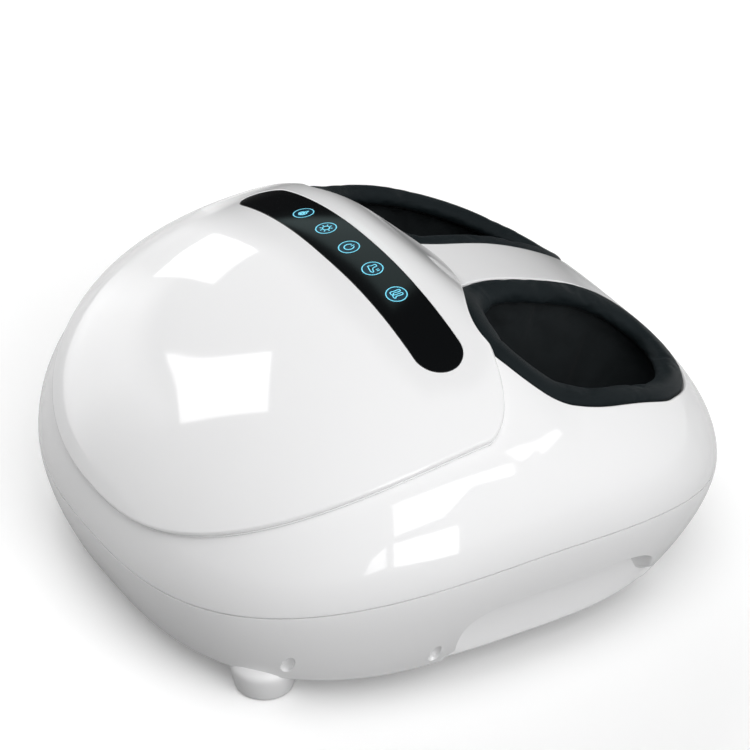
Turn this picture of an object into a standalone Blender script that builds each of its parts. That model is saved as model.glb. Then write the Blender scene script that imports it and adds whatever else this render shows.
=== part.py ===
"""Shiatsu foot massager: a domed two-shell housing with two fabric foot wells.

The toe end points along -Y, the foot openings lie towards +Y, the housing is
symmetric about X = 0 and stands on Z = 0. All sizes are in metres.
"""
import math

import bmesh
import bpy
from mathutils import Vector

# Housing plan: one superellipse, unequal in front of and behind its widest line
HALF_WIDTH = 0.200
FRONT_REACH = 0.214
REAR_REACH = 0.1967
OUTLINE_POWER = 2.64
WIDEST_Y = (FRONT_REACH - REAR_REACH) / 2

# Heights of the tray and of the parting seam, which bows down at both ends
FOOT_HEIGHT = 0.018
SEAM_HEIGHT = 0.0957
SEAM_BOW = 0.0307
SEAM_TILT = 0.0021
SEAM_GAP = 0.0008

# Crown: a tall dome over the toes and a lower, flatter deck round the ankles
DOME_HEIGHT = 0.1153
DECK_HEIGHT = 0.0875
DECK_REAR_HEIGHT = 0.0735
DOME_POWER = 2.0
DECK_POWER = 3.5
BROW_FRONT_Y = -0.0016
BROW_REAR_Y = 0.0503
CROWN_CENTRE_Y = 0.024
CROWN_RING_SHARES = (0.13, 0.27, 0.42, 0.57, 0.71, 0.84, 0.94, 1.0)

# Walls and fits
WALL = 0.003
FIT_GAP = 0.0003
RUN_GAP = 0.0005
OVERRUN = 0.010

# Tray wall taper and its rounded bottom edge
TRAY_INSET_SIDE = 0.026
TRAY_INSET_FRONT = 0.0145
TRAY_INSET_REAR = 0.025
TRAY_TAPER_POWER = 1.6
TRAY_EDGE_ROUND = 0.005
TRAY_WALL_SHARES = (0.15, 0.4, 0.7, 1.0)

# Toe cover that stands proud of the crown
COVER_PROUD = 0.0035
COVER_HALF_WIDTH = 0.164
COVER_FRONT_REACH = 0.1745
COVER_WIDEST_Y = -0.023
COVER_POWER = 2.54
COVER_MIDDLE_Y = 0.0446
COVER_CORNER_SHARES = ((0.997, 0.09), (0.975, 0.21), (0.935, 0.31), (0.882, 0.385), (0.817, 0.43),
                       (0.744, 0.455))
COVER_LEDGE = 0.018
FRONT_OPENING_REAR_Y = -0.003
FRONT_OPENING_CORNER = 0.012

# Foot openings, given for the +X side
MOUTH_X = 0.0905
MOUTH_Y = 0.0945
MOUTH_HALF_WIDTH = 0.0645
MOUTH_HALF_LENGTH = 0.086
MOUTH_SHARES = ((-0.89, -0.62), (-0.60, -0.79), (-0.16, -0.93), (0.26, -0.99), (0.56, -0.90), (0.80, -0.77),
                (0.93, -0.63), (1.0, -0.42), (0.99, -0.16), (0.88, 0.27), (0.75, 0.47), (0.54, 0.67),
                (0.25, 0.83), (-0.16, 0.96), (-0.55, 0.98), (-0.86, 0.83), (-1.0, 0.53), (-1.0, 0.06),
                (-1.0, -0.38))
MOUTH_FRONT_EDGE_COUNT = 4

# Control window with its five touch keys
WINDOW_HALF_LENGTH = 0.120
WINDOW_HALF_WIDTH = 0.0154
WINDOW_Y = -0.0224
WINDOW_THICKNESS = 0.0024
WINDOW_SINK = 0.0003
BOARD_THICKNESS = 0.0016
BOARD_HALF_LENGTH = 0.100
BOARD_HALF_WIDTH = 0.012

# Padded collar and fabric pocket of each foot well
COLLAR_RADIUS = 0.0065
COLLAR_INSET = 0.0071
COLLAR_DROP = 0.005
LINER_THICKNESS = 0.003
LINER_HALF_WIDTH = 0.048
LINER_TOE_HALF_WIDTH = 0.034
LINER_POWER = 2.6
LINER_TOE_Y = -0.127
LINER_HEEL_Y = 0.150
LINER_SOLE_Z = 0.0615
LINER_TOE_TOP_Z = 0.114
LINER_BROW_TOP_Z = 0.178
LINER_STATION_SHARES = ((0.0, 0.0, 0.0, 0.12, 0.0), (0.015, 0.3, 0.015, 0.02, 0.55), (0.06, 0.46, 0.06, 0.0, 0.9),
                        (0.17, 0.56, 0.19, 0.0, 1.0), (0.31, 0.65, 0.35, 0.0, 1.0), (0.43, 0.76, 0.55, 0.0, 1.0),
                        (0.485, 0.88, 0.74, 0.0, 1.0), (0.51, 1.0, 0.90, 0.02, 1.0))
LIP_RING_SHARES = (0.4, 0.75)
LIP_SAG_SHARE = 0.5
LINER_LIP_SHARE = 0.8

# Kneading train
GEAR_MODULE = 0.004
HEAD_TEETH = 16
DRIVE_TEETH = 28
PINION_TEETH = 12
TOOTH_ADDENDUM_SHARE = 0.80
TOOTH_DEDENDUM_SHARE = 1.15
TOOTH_TIP_SHARE = 0.145
TOOTH_ROOT_SHARE = 0.335
ROW_CENTRE_Y = 0.004
ROW_PITCH = HEAD_TEETH * GEAR_MODULE
KNEAD_X = (DRIVE_TEETH + HEAD_TEETH) * GEAR_MODULE / 2
PINION_Y = ROW_CENTRE_Y - (DRIVE_TEETH + PINION_TEETH) * GEAR_MODULE / 2
GEAR_LOW_Z = 0.025
GEAR_THICKNESS = 0.008
HUB_RADIUS = 0.009
HEX_RADIUS = 0.007
AXLE_RADIUS = 0.004
AXLE_TIP = 0.002
AXLE_SEAT_DEPTH = 0.0025
PLATE_LOW_Z = 0.0363
PLATE_THICKNESS = 0.003
PLATE_MARGIN = 0.048
PLATE_CORNER = 0.020
DISC_RADIUS = 0.027
DISC_THICKNESS = 0.005
NODE_RADIUS = 0.009
NODE_RING_RADIUS = 0.0165
NODE_HEIGHT = 0.013
NODES_PER_DISC = 3
DRIVE_HUB_HEIGHT = 0.0025

# Gear motor above the plate
MOTOR_GEARBOX_RADIUS = 0.0185
MOTOR_GEARBOX_HEIGHT = 0.013
MOTOR_CAN_RADIUS = 0.016
MOTOR_CAN_HEIGHT = 0.050
MOTOR_BOSS_RADIUS = 0.005
MOTOR_BOSS_HEIGHT = 0.003
SHAFT_RADIUS = 0.003
SHAFT_DEPTH = 0.010

# Feet, pads and fasteners
FOOT_X = 0.117
FOOT_FRONT_Y = -0.144
FOOT_REAR_Y = 0.118
FOOT_TOP_RADIUS = 0.0210
FOOT_WAIST_RADIUS = 0.0182
FOOT_BOTTOM_RADIUS = 0.0160
FOOT_ROUND = 0.002
PAD_THICKNESS = 0.002
PAD_RADIUS = 0.0135
SCREW_RADIUS = 0.002
SCREW_HEAD_RADIUS = 0.0042
SCREW_HEAD_HEIGHT = 0.0023
SCREW_REACH = 0.012
FOOT_LEDGE = 0.007
BOSS_RADIUS = 0.0065
BOSS_HEIGHT = 0.011
POST_RADIUS = 0.0055
POST_X = 0.147
POST_FRONT_Y = -0.095
POST_MIDDLE_Y = 0.124
POST_REAR_Y = 0.164
PILLAR_RADIUS = 0.0045
PILLAR_SHARES = ((0.5, -1.4), (0.5, 1.2), (1.44, -0.5))

# Side grips, one on each flank of the tray
GRIP_FRONT_Y = -0.050
GRIP_REAR_Y = 0.100
GRIP_TOP_Z = 0.0645
GRIP_STATION_SHARES = ((0.0, 0.2), (0.03, 0.62), (0.09, 0.87), (0.2, 0.98), (0.45, 1.0), (0.72, 1.0),
                       (0.86, 0.94), (0.95, 0.8), (1.0, 0.5))
DIMPLE_RADIUS = 0.006
DIMPLE_DEPTH = 0.0021
DIMPLE_SPOTS = ((0.1440, -0.1470, 0.0320), (0.1775, -0.0625, 0.0290))

# Air unit, boards and inlet
PUMP_SIZE = (0.060, 0.042, 0.032)
PUMP_PLACE = (-0.050, -0.138)
PUMP_HEAD_RADIUS = 0.011
PUMP_HEAD_LENGTH = 0.010
VALVE_SIZE = (0.030, 0.026, 0.018)
VALVE_PLACE = (0.006, -0.142)
NOZZLE_RADIUS = 0.0025
NOZZLE_LENGTH = 0.007
MAIN_BOARD_SIZE = (0.046, 0.050, 0.0016)
MAIN_BOARD_PLACE = (0.056, -0.140)
MAIN_BOARD_STAND = 0.006
MAIN_BOARD_STAND_RADIUS = 0.003
COIL_SIZE = (0.016, 0.014, 0.012)
INLET_SIZE = (0.024, 0.022, 0.014)
INLET_Z = 0.044
INLET_SINK = 0.0015
INLET_POCKET = (0.018, 0.013, 0.009)
INLET_PIN_RADIUS = 0.0012
INLET_PIN_SPACING = 0.0086
SIDE_BAG_HALF = (0.009, 0.055, 0.024)
SIDE_BAG_PLACE = (-0.012, 0.108)
INSTEP_BAG_HALF = (0.036, 0.036, 0.010)
HEATER_SIZE = (0.058, 0.030, 0.0008)
HEATER_Y = -0.108

# Facet counts
ROUND_COUNT = 44
OUTLINE_COUNT = 32
COVER_COUNT = 24
LINER_COUNT = 18
TURN_COUNT = 14
SMALL_TURN_COUNT = 8
CUSHION_COUNTS = (8, 6)
ANGLE_STEP = 0.002
SMOOTH_ANGLE = 35
MERGE_DISTANCE = 0.00001

parts = bpy.data.collections.new("shiatsu_foot_massager")
cutters = bpy.data.collections.new("cutters")


def clear_scene():
    """Remove whatever the scene holds at the start."""
    for item in list(bpy.data.objects):
        bpy.data.objects.remove(item)
    for group in (parts, cutters):
        bpy.context.scene.collection.children.link(group)


def material(name, colour, roughness, metallic=0.0):
    """A plain moulded, woven or metal finish."""
    finish = bpy.data.materials.new(name)
    finish.use_nodes = True
    shader = finish.node_tree.nodes["Principled BSDF"]
    shader.inputs["Base Color"].default_value = (*colour, 1.0)
    shader.inputs["Roughness"].default_value = roughness
    shader.inputs["Metallic"].default_value = metallic
    return finish


def add_part(name, mesh, finish, parent=None, place=(0.0, 0.0, 0.0)):
    """Put a mesh into the model as a named piece."""
    item = bpy.data.objects.new(name, mesh)
    item.location = place
    item.data.materials.append(finish)
    parts.objects.link(item)
    if parent is not None:
        item.parent = parent
        item.location = Vector(place) - parent.location
    return item


def add_cutter(name, mesh, place=(0.0, 0.0, 0.0)):
    """Keep a mesh that only cuts or joins other pieces."""
    item = bpy.data.objects.new(name, mesh)
    item.location = place
    item.hide_render = True
    item.display_type = "WIRE"
    cutters.objects.link(item)
    return item


def combine(item, other, operation="DIFFERENCE"):
    """Cut, join or intersect a piece with another object."""
    step = item.modifiers.new(operation.title(), "BOOLEAN")
    step.operation = operation
    step.object = other
    step.solver = "EXACT"


def finish_mesh(name, shape, smooth=True):
    """Turn a bmesh into a mesh with outward faces."""
    bmesh.ops.recalc_face_normals(shape, faces=shape.faces[:])
    mesh = bpy.data.meshes.new(name)
    shape.to_mesh(mesh)
    shape.free()
    if smooth:
        mesh.shade_smooth()
        mesh.set_sharp_from_angle(angle=math.radians(SMOOTH_ANGLE))
    return mesh


def loft(name, rings, close_first=True, close_last=True):
    """Skin a row of rings that hold the same number of points."""
    shape = bmesh.new()
    loops = [[shape.verts.new(point) for point in ring] for ring in rings]
    for near, far in zip(loops, loops[1:]):
        for index, corner in enumerate(near):
            shape.faces.new((near[index - 1], corner, far[index], far[index - 1]))
    caps = [shape.faces.new(loop) for loop, closed in ((loops[0], close_first), (loops[-1], close_last)) if closed]
    if caps:
        bmesh.ops.poke(shape, faces=caps)
    return finish_mesh(name, shape)


def prism(name, outline, low, high):
    """Extrude a flat outline from one height to another."""
    shape = bmesh.new()
    face = shape.faces.new([shape.verts.new((x, y, low)) for x, y in outline])
    lifted = bmesh.ops.extrude_face_region(shape, geom=[face])["geom"]
    moved = [item for item in lifted if isinstance(item, bmesh.types.BMVert)]
    bmesh.ops.translate(shape, verts=moved, vec=(0.0, 0.0, high - low))
    return finish_mesh(name, shape)


def box(name, size, centre=(0.0, 0.0, 0.0)):
    """A block of the given full size."""
    shape = bmesh.new()
    bmesh.ops.create_cube(shape, size=1.0)
    bmesh.ops.scale(shape, vec=size, verts=shape.verts[:])
    bmesh.ops.translate(shape, vec=centre, verts=shape.verts[:])
    return finish_mesh(name, shape, smooth=False)


def cylinder(name, radius, low, high, centre=(0.0, 0.0), count=TURN_COUNT):
    """An upright round bar, or a hexagonal one when count is six."""
    angles = [math.tau * (step + 0.5) / count for step in range(count)]
    outline = [(centre[0] + radius * math.cos(angle), centre[1] + radius * math.sin(angle)) for angle in angles]
    return prism(name, outline, low, high)


def bore(name, radius, low, high, centre=(0.0, 0.0), count=SMALL_TURN_COUNT):
    """A round hole's volume whose flats still clear the radius."""
    return cylinder(name, radius / math.cos(math.pi / count), low, high, centre, count)


def ellipsoid(name, half, centre):
    """A plain cushion form."""
    shape = bmesh.new()
    bmesh.ops.create_uvsphere(shape, u_segments=CUSHION_COUNTS[0], v_segments=CUSHION_COUNTS[1], radius=1.0)
    bmesh.ops.scale(shape, vec=half, verts=shape.verts[:])
    bmesh.ops.translate(shape, vec=centre, verts=shape.verts[:])
    return finish_mesh(name, shape)


def turned(name, profile, finish, place, closed=False, count=TURN_COUNT, parent=None):
    """Turn a profile, given at +X from top to bottom, about its own Z axis."""
    mesh = bpy.data.meshes.new(name)
    edges = [(index, index + 1) for index in range(len(profile) - 1)]
    if closed:
        edges.append((len(profile) - 1, 0))
    mesh.from_pydata([(radius, 0.0, height) for radius, height in profile], edges, [])
    item = add_part(name, mesh, finish, parent, place)
    turn = item.modifiers.new("Turn", "SCREW")
    turn.angle = math.tau
    turn.steps = turn.render_steps = count
    turn.use_merge_vertices = True
    turn.merge_threshold = MERGE_DISTANCE
    turn.use_smooth_shade = True
    return item


def signed_power(value, power):
    """A power that keeps the sign."""
    return math.copysign(abs(value) ** power, value)


def superellipse(angle, half_x, half_y, power):
    """A point on a superellipse round the origin."""
    return (half_x * signed_power(math.cos(angle), 2 / power),
            half_y * signed_power(math.sin(angle), 2 / power))


def smooth_closed(points, steps):
    """A closed Catmull-Rom curve through the points."""
    curve = []
    total = len(points)
    for index in range(total):
        before, start, end, after = (Vector(points[(index + shift) % total]) for shift in (-1, 0, 1, 2))
        for step in range(steps):
            t = step / steps
            curve.append((2 * start + (end - before) * t + (2 * before - 5 * start + 4 * end - after) * t ** 2
                          + (3 * start - before - 3 * end + after) * t ** 3) / 2)
    return curve


def even_closed(points, count):
    """The same closed curve with evenly spaced points."""
    lengths = [(points[(index + 1) % len(points)] - point).length for index, point in enumerate(points)]
    pitch = sum(lengths) / count
    result, walked, index = [], 0.0, 0
    for step in range(count):
        while walked + lengths[index] < step * pitch:
            walked += lengths[index]
            index += 1
        share = (step * pitch - walked) / lengths[index]
        result.append(points[index].lerp(points[(index + 1) % len(points)], share))
    return result


def inset_closed(points, distance):
    """Move an anticlockwise closed outline inwards."""
    moved = []
    for index, point in enumerate(points):
        along = points[(index + 1) % len(points)] - points[index - 1]
        moved.append(point + Vector((-along.y, along.x)).normalized() * distance)
    return moved


def mirrored(points, side):
    """The outline of one side or of the other."""
    return [(side * point[0], point[1]) for point in points][::side]


def smooth_step(value):
    """Rise from 0 to 1 with level ends."""
    value = min(max(value, 0.0), 1.0)
    return value * value * (3 - 2 * value)


def seam_height(y):
    """Height of the parting seam along the housing."""
    share = y / HALF_WIDTH
    return SEAM_HEIGHT - SEAM_BOW * share ** 2 + SEAM_TILT * share


def body_outline(angle):
    """The housing's plan at the seam."""
    reach = FRONT_REACH if math.sin(angle) < 0 else REAR_REACH
    x, y = superellipse(angle, HALF_WIDTH, reach, OUTLINE_POWER)
    return Vector((x, WIDEST_Y + y))


def outline_share(x, y):
    """How far out a place lies: 0 on the widest line's middle, 1 on the outline."""
    reach = FRONT_REACH if y < WIDEST_Y else REAR_REACH
    total = abs(x / HALF_WIDTH) ** OUTLINE_POWER + abs((y - WIDEST_Y) / reach) ** OUTLINE_POWER
    return min(total ** (1 / OUTLINE_POWER), 1.0)


def crown_height(x, y):
    """Height of the upper housing's outer face: the dome runs over the brow into the deck."""
    blend = smooth_step((y - BROW_FRONT_Y) / (BROW_REAR_Y - BROW_FRONT_Y))
    slope = min(max((y - BROW_REAR_Y) / (WIDEST_Y + REAR_REACH - BROW_REAR_Y), 0.0), 1.0)
    deck = DECK_HEIGHT + (DECK_REAR_HEIGHT - DECK_HEIGHT) * slope
    height = DOME_HEIGHT + (deck - DOME_HEIGHT) * blend
    power = DOME_POWER + (DECK_POWER - DOME_POWER) * blend
    return seam_height(y) + SEAM_GAP / 2 + height * math.sqrt(1 - outline_share(x, y) ** power)


def crown_place(angle, share):
    """A point of the crown's outer face by direction and share of the way out."""
    centre = Vector((0.0, CROWN_CENTRE_Y))
    place = centre.lerp(body_outline(angle), share)
    return Vector((place.x, place.y, crown_height(place.x, place.y)))


def crown_point(angle, share, offset):
    """A crown point moved out along the surface."""
    inner = min(share, 1.0 - ANGLE_STEP ** 2)
    across = crown_place(angle, inner + ANGLE_STEP ** 2) - crown_place(angle, inner - ANGLE_STEP)
    around = crown_place(angle + ANGLE_STEP, inner) - crown_place(angle - ANGLE_STEP, inner)
    if share == 1.0:
        across = Vector((0.0, 0.0, -SEAM_GAP))
    return crown_place(angle, share) + across.cross(around).normalized() * offset


def crown_sheet(name, outer, inner, finish):
    """The whole crown as a closed shell between two offsets of the nominal face."""
    angles = [math.tau * step / ROUND_COUNT for step in range(ROUND_COUNT)]
    shape = bmesh.new()
    rims = []
    for offset in (outer, inner):
        rings = [[crown_point(angle, share, offset) for angle in angles] for share in CROWN_RING_SHARES]
        loops = [[shape.verts.new(point) for point in ring] for ring in rings]
        for near, far in zip(loops, loops[1:]):
            for index, corner in enumerate(near):
                shape.faces.new((near[index - 1], corner, far[index]))
                shape.faces.new((near[index - 1], far[index], far[index - 1]))
        bmesh.ops.poke(shape, faces=[shape.faces.new(loops[0])])
        rims.append(loops[-1])
    for index, corner in enumerate(rims[0]):
        shape.faces.new((rims[0][index - 1], corner, rims[1][index], rims[1][index - 1]))
    return add_part(name, finish_mesh(name, shape), finish)


def tray_inset(angle):
    """How far the tray's bottom edge lies inside the seam."""
    place = body_outline(angle)
    share = place.y ** 2 / place.length_squared
    end = TRAY_INSET_FRONT if place.y < 0 else TRAY_INSET_REAR
    return TRAY_INSET_SIDE + (end - TRAY_INSET_SIDE) * share


def tray_point(angle, share, offset):
    """A point of the tray's wall, from the bottom edge at 0 to the seam at 1."""
    place = body_outline(angle)
    inset = tray_inset(angle) * (1 - share) ** TRAY_TAPER_POWER + offset
    place = place * (1 - inset / place.length)
    low = FOOT_HEIGHT + offset
    high = seam_height(place.y) - SEAM_GAP / 2
    return Vector((place.x, place.y, low + (high - low) * share))


def tray_solid(name, offset, rise):
    """The tray's full volume, drawn in by offset and lifted at its top by rise."""
    angles = [math.tau * step / ROUND_COUNT for step in range(ROUND_COUNT)]
    floor, rounding = [], []
    for angle in angles:
        edge = tray_point(angle, 0.0, offset)
        flat = Vector((edge.x, edge.y, 0.0)).normalized()
        floor.append(edge - flat * TRAY_EDGE_ROUND)
        chord = TRAY_EDGE_ROUND * (1 - math.sqrt(0.5))
        rounding.append(edge - flat * chord + Vector((0.0, 0.0, chord)))
    rings = [floor, rounding]
    rings += [[tray_point(angle, share, offset) for angle in angles] for share in TRAY_WALL_SHARES]
    if rise:
        rings.append([point + Vector((0.0, 0.0, rise)) for point in rings[-1]])
    return loft(name, rings)


def mouth_outline(inset=0.0, count=OUTLINE_COUNT):
    """The foot opening's outline on the +X side."""
    points = [(MOUTH_X + MOUTH_HALF_WIDTH * across, MOUTH_Y + MOUTH_HALF_LENGTH * along)
              for across, along in MOUTH_SHARES]
    curve = even_closed(smooth_closed(points, 6), count)
    return inset_closed(curve, inset) if inset else curve


def cover_outline():
    """The toe cover's outline: a superellipse in front, the foot openings' front edges behind."""
    front = []
    for step in range(COVER_COUNT + 1):
        x, y = superellipse(math.pi + math.pi * step / COVER_COUNT, COVER_HALF_WIDTH, COVER_FRONT_REACH,
                            COVER_POWER)
        front.append((x, COVER_WIDEST_Y + y))
    corner_reach = COVER_MIDDLE_Y - COVER_WIDEST_Y
    corner = [(COVER_HALF_WIDTH * across, COVER_WIDEST_Y + corner_reach * along)
              for across, along in COVER_CORNER_SHARES]
    edge = [(MOUTH_X + MOUTH_HALF_WIDTH * across, MOUTH_Y + MOUTH_HALF_LENGTH * along)
            for across, along in MOUTH_SHARES[:MOUTH_FRONT_EDGE_COUNT]]
    half = corner + edge[::-1]
    return front + half + [(0.0, COVER_MIDDLE_Y)] + [(-x, y) for x, y in half[::-1]]


def slot_outline(half_length, half_width, centre_y):
    """A slot with round ends, long across the housing."""
    outline = []
    reach = half_length - half_width
    for side, start in ((1, -math.pi / 2), (-1, math.pi / 2)):
        for step in range(SMALL_TURN_COUNT + 1):
            angle = start + math.pi * step / SMALL_TURN_COUNT
            outline.append((side * reach + half_width * math.cos(angle), centre_y + half_width * math.sin(angle)))
    return outline


def rounded_rectangle(low_x, high_x, low_y, high_y, corner):
    """A rectangle with round corners."""
    outline = []
    for x, y, start in ((high_x, high_y, 0.0), (low_x, high_y, math.pi / 2), (low_x, low_y, math.pi),
                        (high_x, low_y, -math.pi / 2)):
        for step in range(5):
            angle = start + math.pi / 2 * step / 4
            outline.append((x - math.copysign(corner, x - (low_x + high_x) / 2) + corner * math.cos(angle),
                            y - math.copysign(corner, y - (low_y + high_y) / 2) + corner * math.sin(angle)))
    return outline


def gear_outline(teeth, phase):
    """A spur gear's outline with straight flanks, a tooth centred at the phase angle."""
    pitch_radius = teeth * GEAR_MODULE / 2
    tip = pitch_radius + GEAR_MODULE * TOOTH_ADDENDUM_SHARE
    root = pitch_radius - GEAR_MODULE * TOOTH_DEDENDUM_SHARE
    outline = []
    for tooth in range(teeth):
        centre = phase + math.tau * tooth / teeth
        for radius, share in ((root, -TOOTH_ROOT_SHARE), (tip, -TOOTH_TIP_SHARE), (tip, TOOTH_TIP_SHARE),
                              (root, TOOTH_ROOT_SHARE)):
            angle = centre + share * math.tau / teeth
            outline.append((radius * math.cos(angle), radius * math.sin(angle)))
    return outline


WHITE = material("gloss_white_shell", (0.86, 0.86, 0.87), 0.12)
GREY_WHITE = material("satin_white_tray", (0.78, 0.78, 0.79), 0.25)
WINDOW = material("black_window", (0.006, 0.006, 0.007), 0.06)
BOARD = material("green_board", (0.03, 0.16, 0.07), 0.5)
FABRIC = material("charcoal_liner", (0.020, 0.024, 0.026), 0.75)
COLLAR = material("charcoal_collar", (0.022, 0.027, 0.030), 0.55)
RUBBER = material("dark_rubber", (0.03, 0.03, 0.03), 0.85)
STEEL = material("zinc_steel", (0.60, 0.60, 0.62), 0.3, 1.0)
NYLON = material("natural_nylon", (0.70, 0.68, 0.60), 0.45)
HEAD = material("grey_head", (0.25, 0.26, 0.28), 0.45)
BLACK = material("black_plastic", (0.02, 0.02, 0.02), 0.5)
BAG = material("grey_airbag", (0.30, 0.31, 0.33), 0.6)
HEATER = material("amber_heater", (0.45, 0.20, 0.05), 0.5)


def head_rows():
    """Name and Y place of the three kneading heads under each foot."""
    return (("toe", ROW_CENTRE_Y - ROW_PITCH), ("arch", ROW_CENTRE_Y), ("heel", ROW_CENTRE_Y + ROW_PITCH))


def head_places():
    """Side name, row name and place of every kneading head."""
    return [(side_name, row_name, side * KNEAD_X, y)
            for side_name, side in (("left", -1), ("right", 1)) for row_name, y in head_rows()]


def foot_places():
    """Name and place of the four feet."""
    return [("front_left", -FOOT_X, FOOT_FRONT_Y), ("front_right", FOOT_X, FOOT_FRONT_Y),
            ("rear_left", -FOOT_X, FOOT_REAR_Y), ("rear_right", FOOT_X, FOOT_REAR_Y)]


def post_places():
    """Name and place of the four housing screws."""
    return [("front_left", -POST_X, POST_FRONT_Y), ("front_right", POST_X, POST_FRONT_Y),
            ("middle", 0.0, POST_MIDDLE_Y), ("rear", 0.0, POST_REAR_Y)]


def pillar_places():
    """Places of the pillars under the mechanism plate, clear of every gear."""
    return [(side * KNEAD_X * across, ROW_CENTRE_Y + ROW_PITCH * along)
            for across, along in PILLAR_SHARES for side in (1, -1)]


def grip_rings(side, grow):
    """Cross-sections of a side grip's hollow, grown by a wall for its backing."""
    rings = []
    length = GRIP_REAR_Y - GRIP_FRONT_Y
    for index, (along, rise) in enumerate(GRIP_STATION_SHARES):
        y = GRIP_FRONT_Y + length * along
        if index == 0:
            y -= grow
        if index == len(GRIP_STATION_SHARES) - 1:
            y += grow
        share = min(abs((y - WIDEST_Y) / (REAR_REACH if y > WIDEST_Y else FRONT_REACH)), 1.0)
        seam_x = HALF_WIDTH * (1 - share ** OUTLINE_POWER) ** (1 / OUTLINE_POWER)
        inner = side * (seam_x - TRAY_INSET_SIDE + WALL / 2 - grow)
        outer = side * (HALF_WIDTH + OVERRUN)
        top = FOOT_HEIGHT + (GRIP_TOP_Z - FOOT_HEIGHT) * rise + grow
        low = FOOT_HEIGHT - OVERRUN
        rings.append([(inner, y, low), (outer, y, low), (outer, y, top), (inner, y, top)])
    return rings


def make_lower_housing():
    """The tray: tapered wall, side grips, screw bosses, axle seats and plate pillars."""
    item = add_part("lower_housing", tray_solid("lower_housing", 0.0, 0.0), GREY_WHITE)
    cavity = add_cutter("tray_cavity", tray_solid("tray_cavity", WALL, OVERRUN))
    floor = FOOT_HEIGHT + WALL
    for name, side in (("left", -1), ("right", 1)):
        combine(cavity, add_cutter("grip_back_" + name, loft("grip_back_" + name, grip_rings(side, WALL))))
    bosses = [(x, y, BOSS_RADIUS, floor + BOSS_HEIGHT - WALL) for _, x, y in foot_places()]
    bosses += [(x, y, BOSS_RADIUS, floor + BOSS_HEIGHT / 2) for _, x, y in post_places()]
    bosses += [(x, y, PILLAR_RADIUS, PLATE_LOW_Z - FIT_GAP) for x, y in pillar_places()]
    bosses += [(x, y, BOSS_RADIUS, GEAR_LOW_Z - FIT_GAP) for _, _, x, y in head_places()]
    bosses.append((0.0, ROW_CENTRE_Y, BOSS_RADIUS, GEAR_LOW_Z - FIT_GAP))
    board_x, board_y = MAIN_BOARD_PLACE
    for across in (-1, 1):
        for along in (-1, 1):
            bosses.append((board_x + across * (MAIN_BOARD_SIZE[0] / 2 - MAIN_BOARD_STAND_RADIUS),
                           board_y + along * (MAIN_BOARD_SIZE[1] / 2 - MAIN_BOARD_STAND_RADIUS),
                           MAIN_BOARD_STAND_RADIUS, floor + MAIN_BOARD_STAND))
    for index, (x, y, radius, top) in enumerate(bosses):
        name = "tray_boss_%d" % index
        combine(cavity, add_cutter(name, cylinder(name, radius, FOOT_HEIGHT, top, (x, y), SMALL_TURN_COUNT)))
    combine(item, cavity)
    for name, side in (("left", -1), ("right", 1)):
        combine(item, add_cutter("grip_" + name, loft("grip_" + name, grip_rings(side, 0.0))))
        for index, (x, y, z) in enumerate(DIMPLE_SPOTS):
            outward = Vector((side * x, y, 0.0)).normalized() * (DIMPLE_RADIUS - DIMPLE_DEPTH)
            label = "dimple_%s_%d" % (name, index)
            ball = ellipsoid(label, (DIMPLE_RADIUS,) * 3, Vector((side * x, y, z)) + outward)
            combine(item, add_cutter(label, ball))
    holes = [(x, y, AXLE_RADIUS + FIT_GAP, GEAR_LOW_Z - AXLE_SEAT_DEPTH - FIT_GAP, GEAR_LOW_Z)
             for _, _, x, y in head_places()]
    holes.append((0.0, ROW_CENTRE_Y, AXLE_RADIUS + FIT_GAP, GEAR_LOW_Z - AXLE_SEAT_DEPTH - FIT_GAP, GEAR_LOW_Z))
    for _, x, y in foot_places():
        holes.append((x, y, SCREW_RADIUS + FIT_GAP, FOOT_HEIGHT - OVERRUN, FOOT_HEIGHT + BOSS_HEIGHT - WALL))
    for _, x, y in post_places():
        holes.append((x, y, SCREW_RADIUS + FIT_GAP, FOOT_HEIGHT - OVERRUN, floor + BOSS_HEIGHT))
        holes.append((x, y, SCREW_HEAD_RADIUS + FIT_GAP * 2, FOOT_HEIGHT - OVERRUN, floor + BOSS_HEIGHT / 2 - WALL))
    for index, (x, y, radius, low, high) in enumerate(holes):
        name = "tray_hole_%d" % index
        combine(item, add_cutter(name, bore(name, radius, low, high, (x, y))))
    inlet_hole = box("inlet_hole", (INLET_SIZE[0] + 2 * FIT_GAP, 2 * INLET_SIZE[1], INLET_SIZE[2] + 2 * FIT_GAP),
                     (0.0, inlet_face_y(), INLET_Z))
    combine(item, add_cutter("inlet_hole", inlet_hole))


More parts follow.
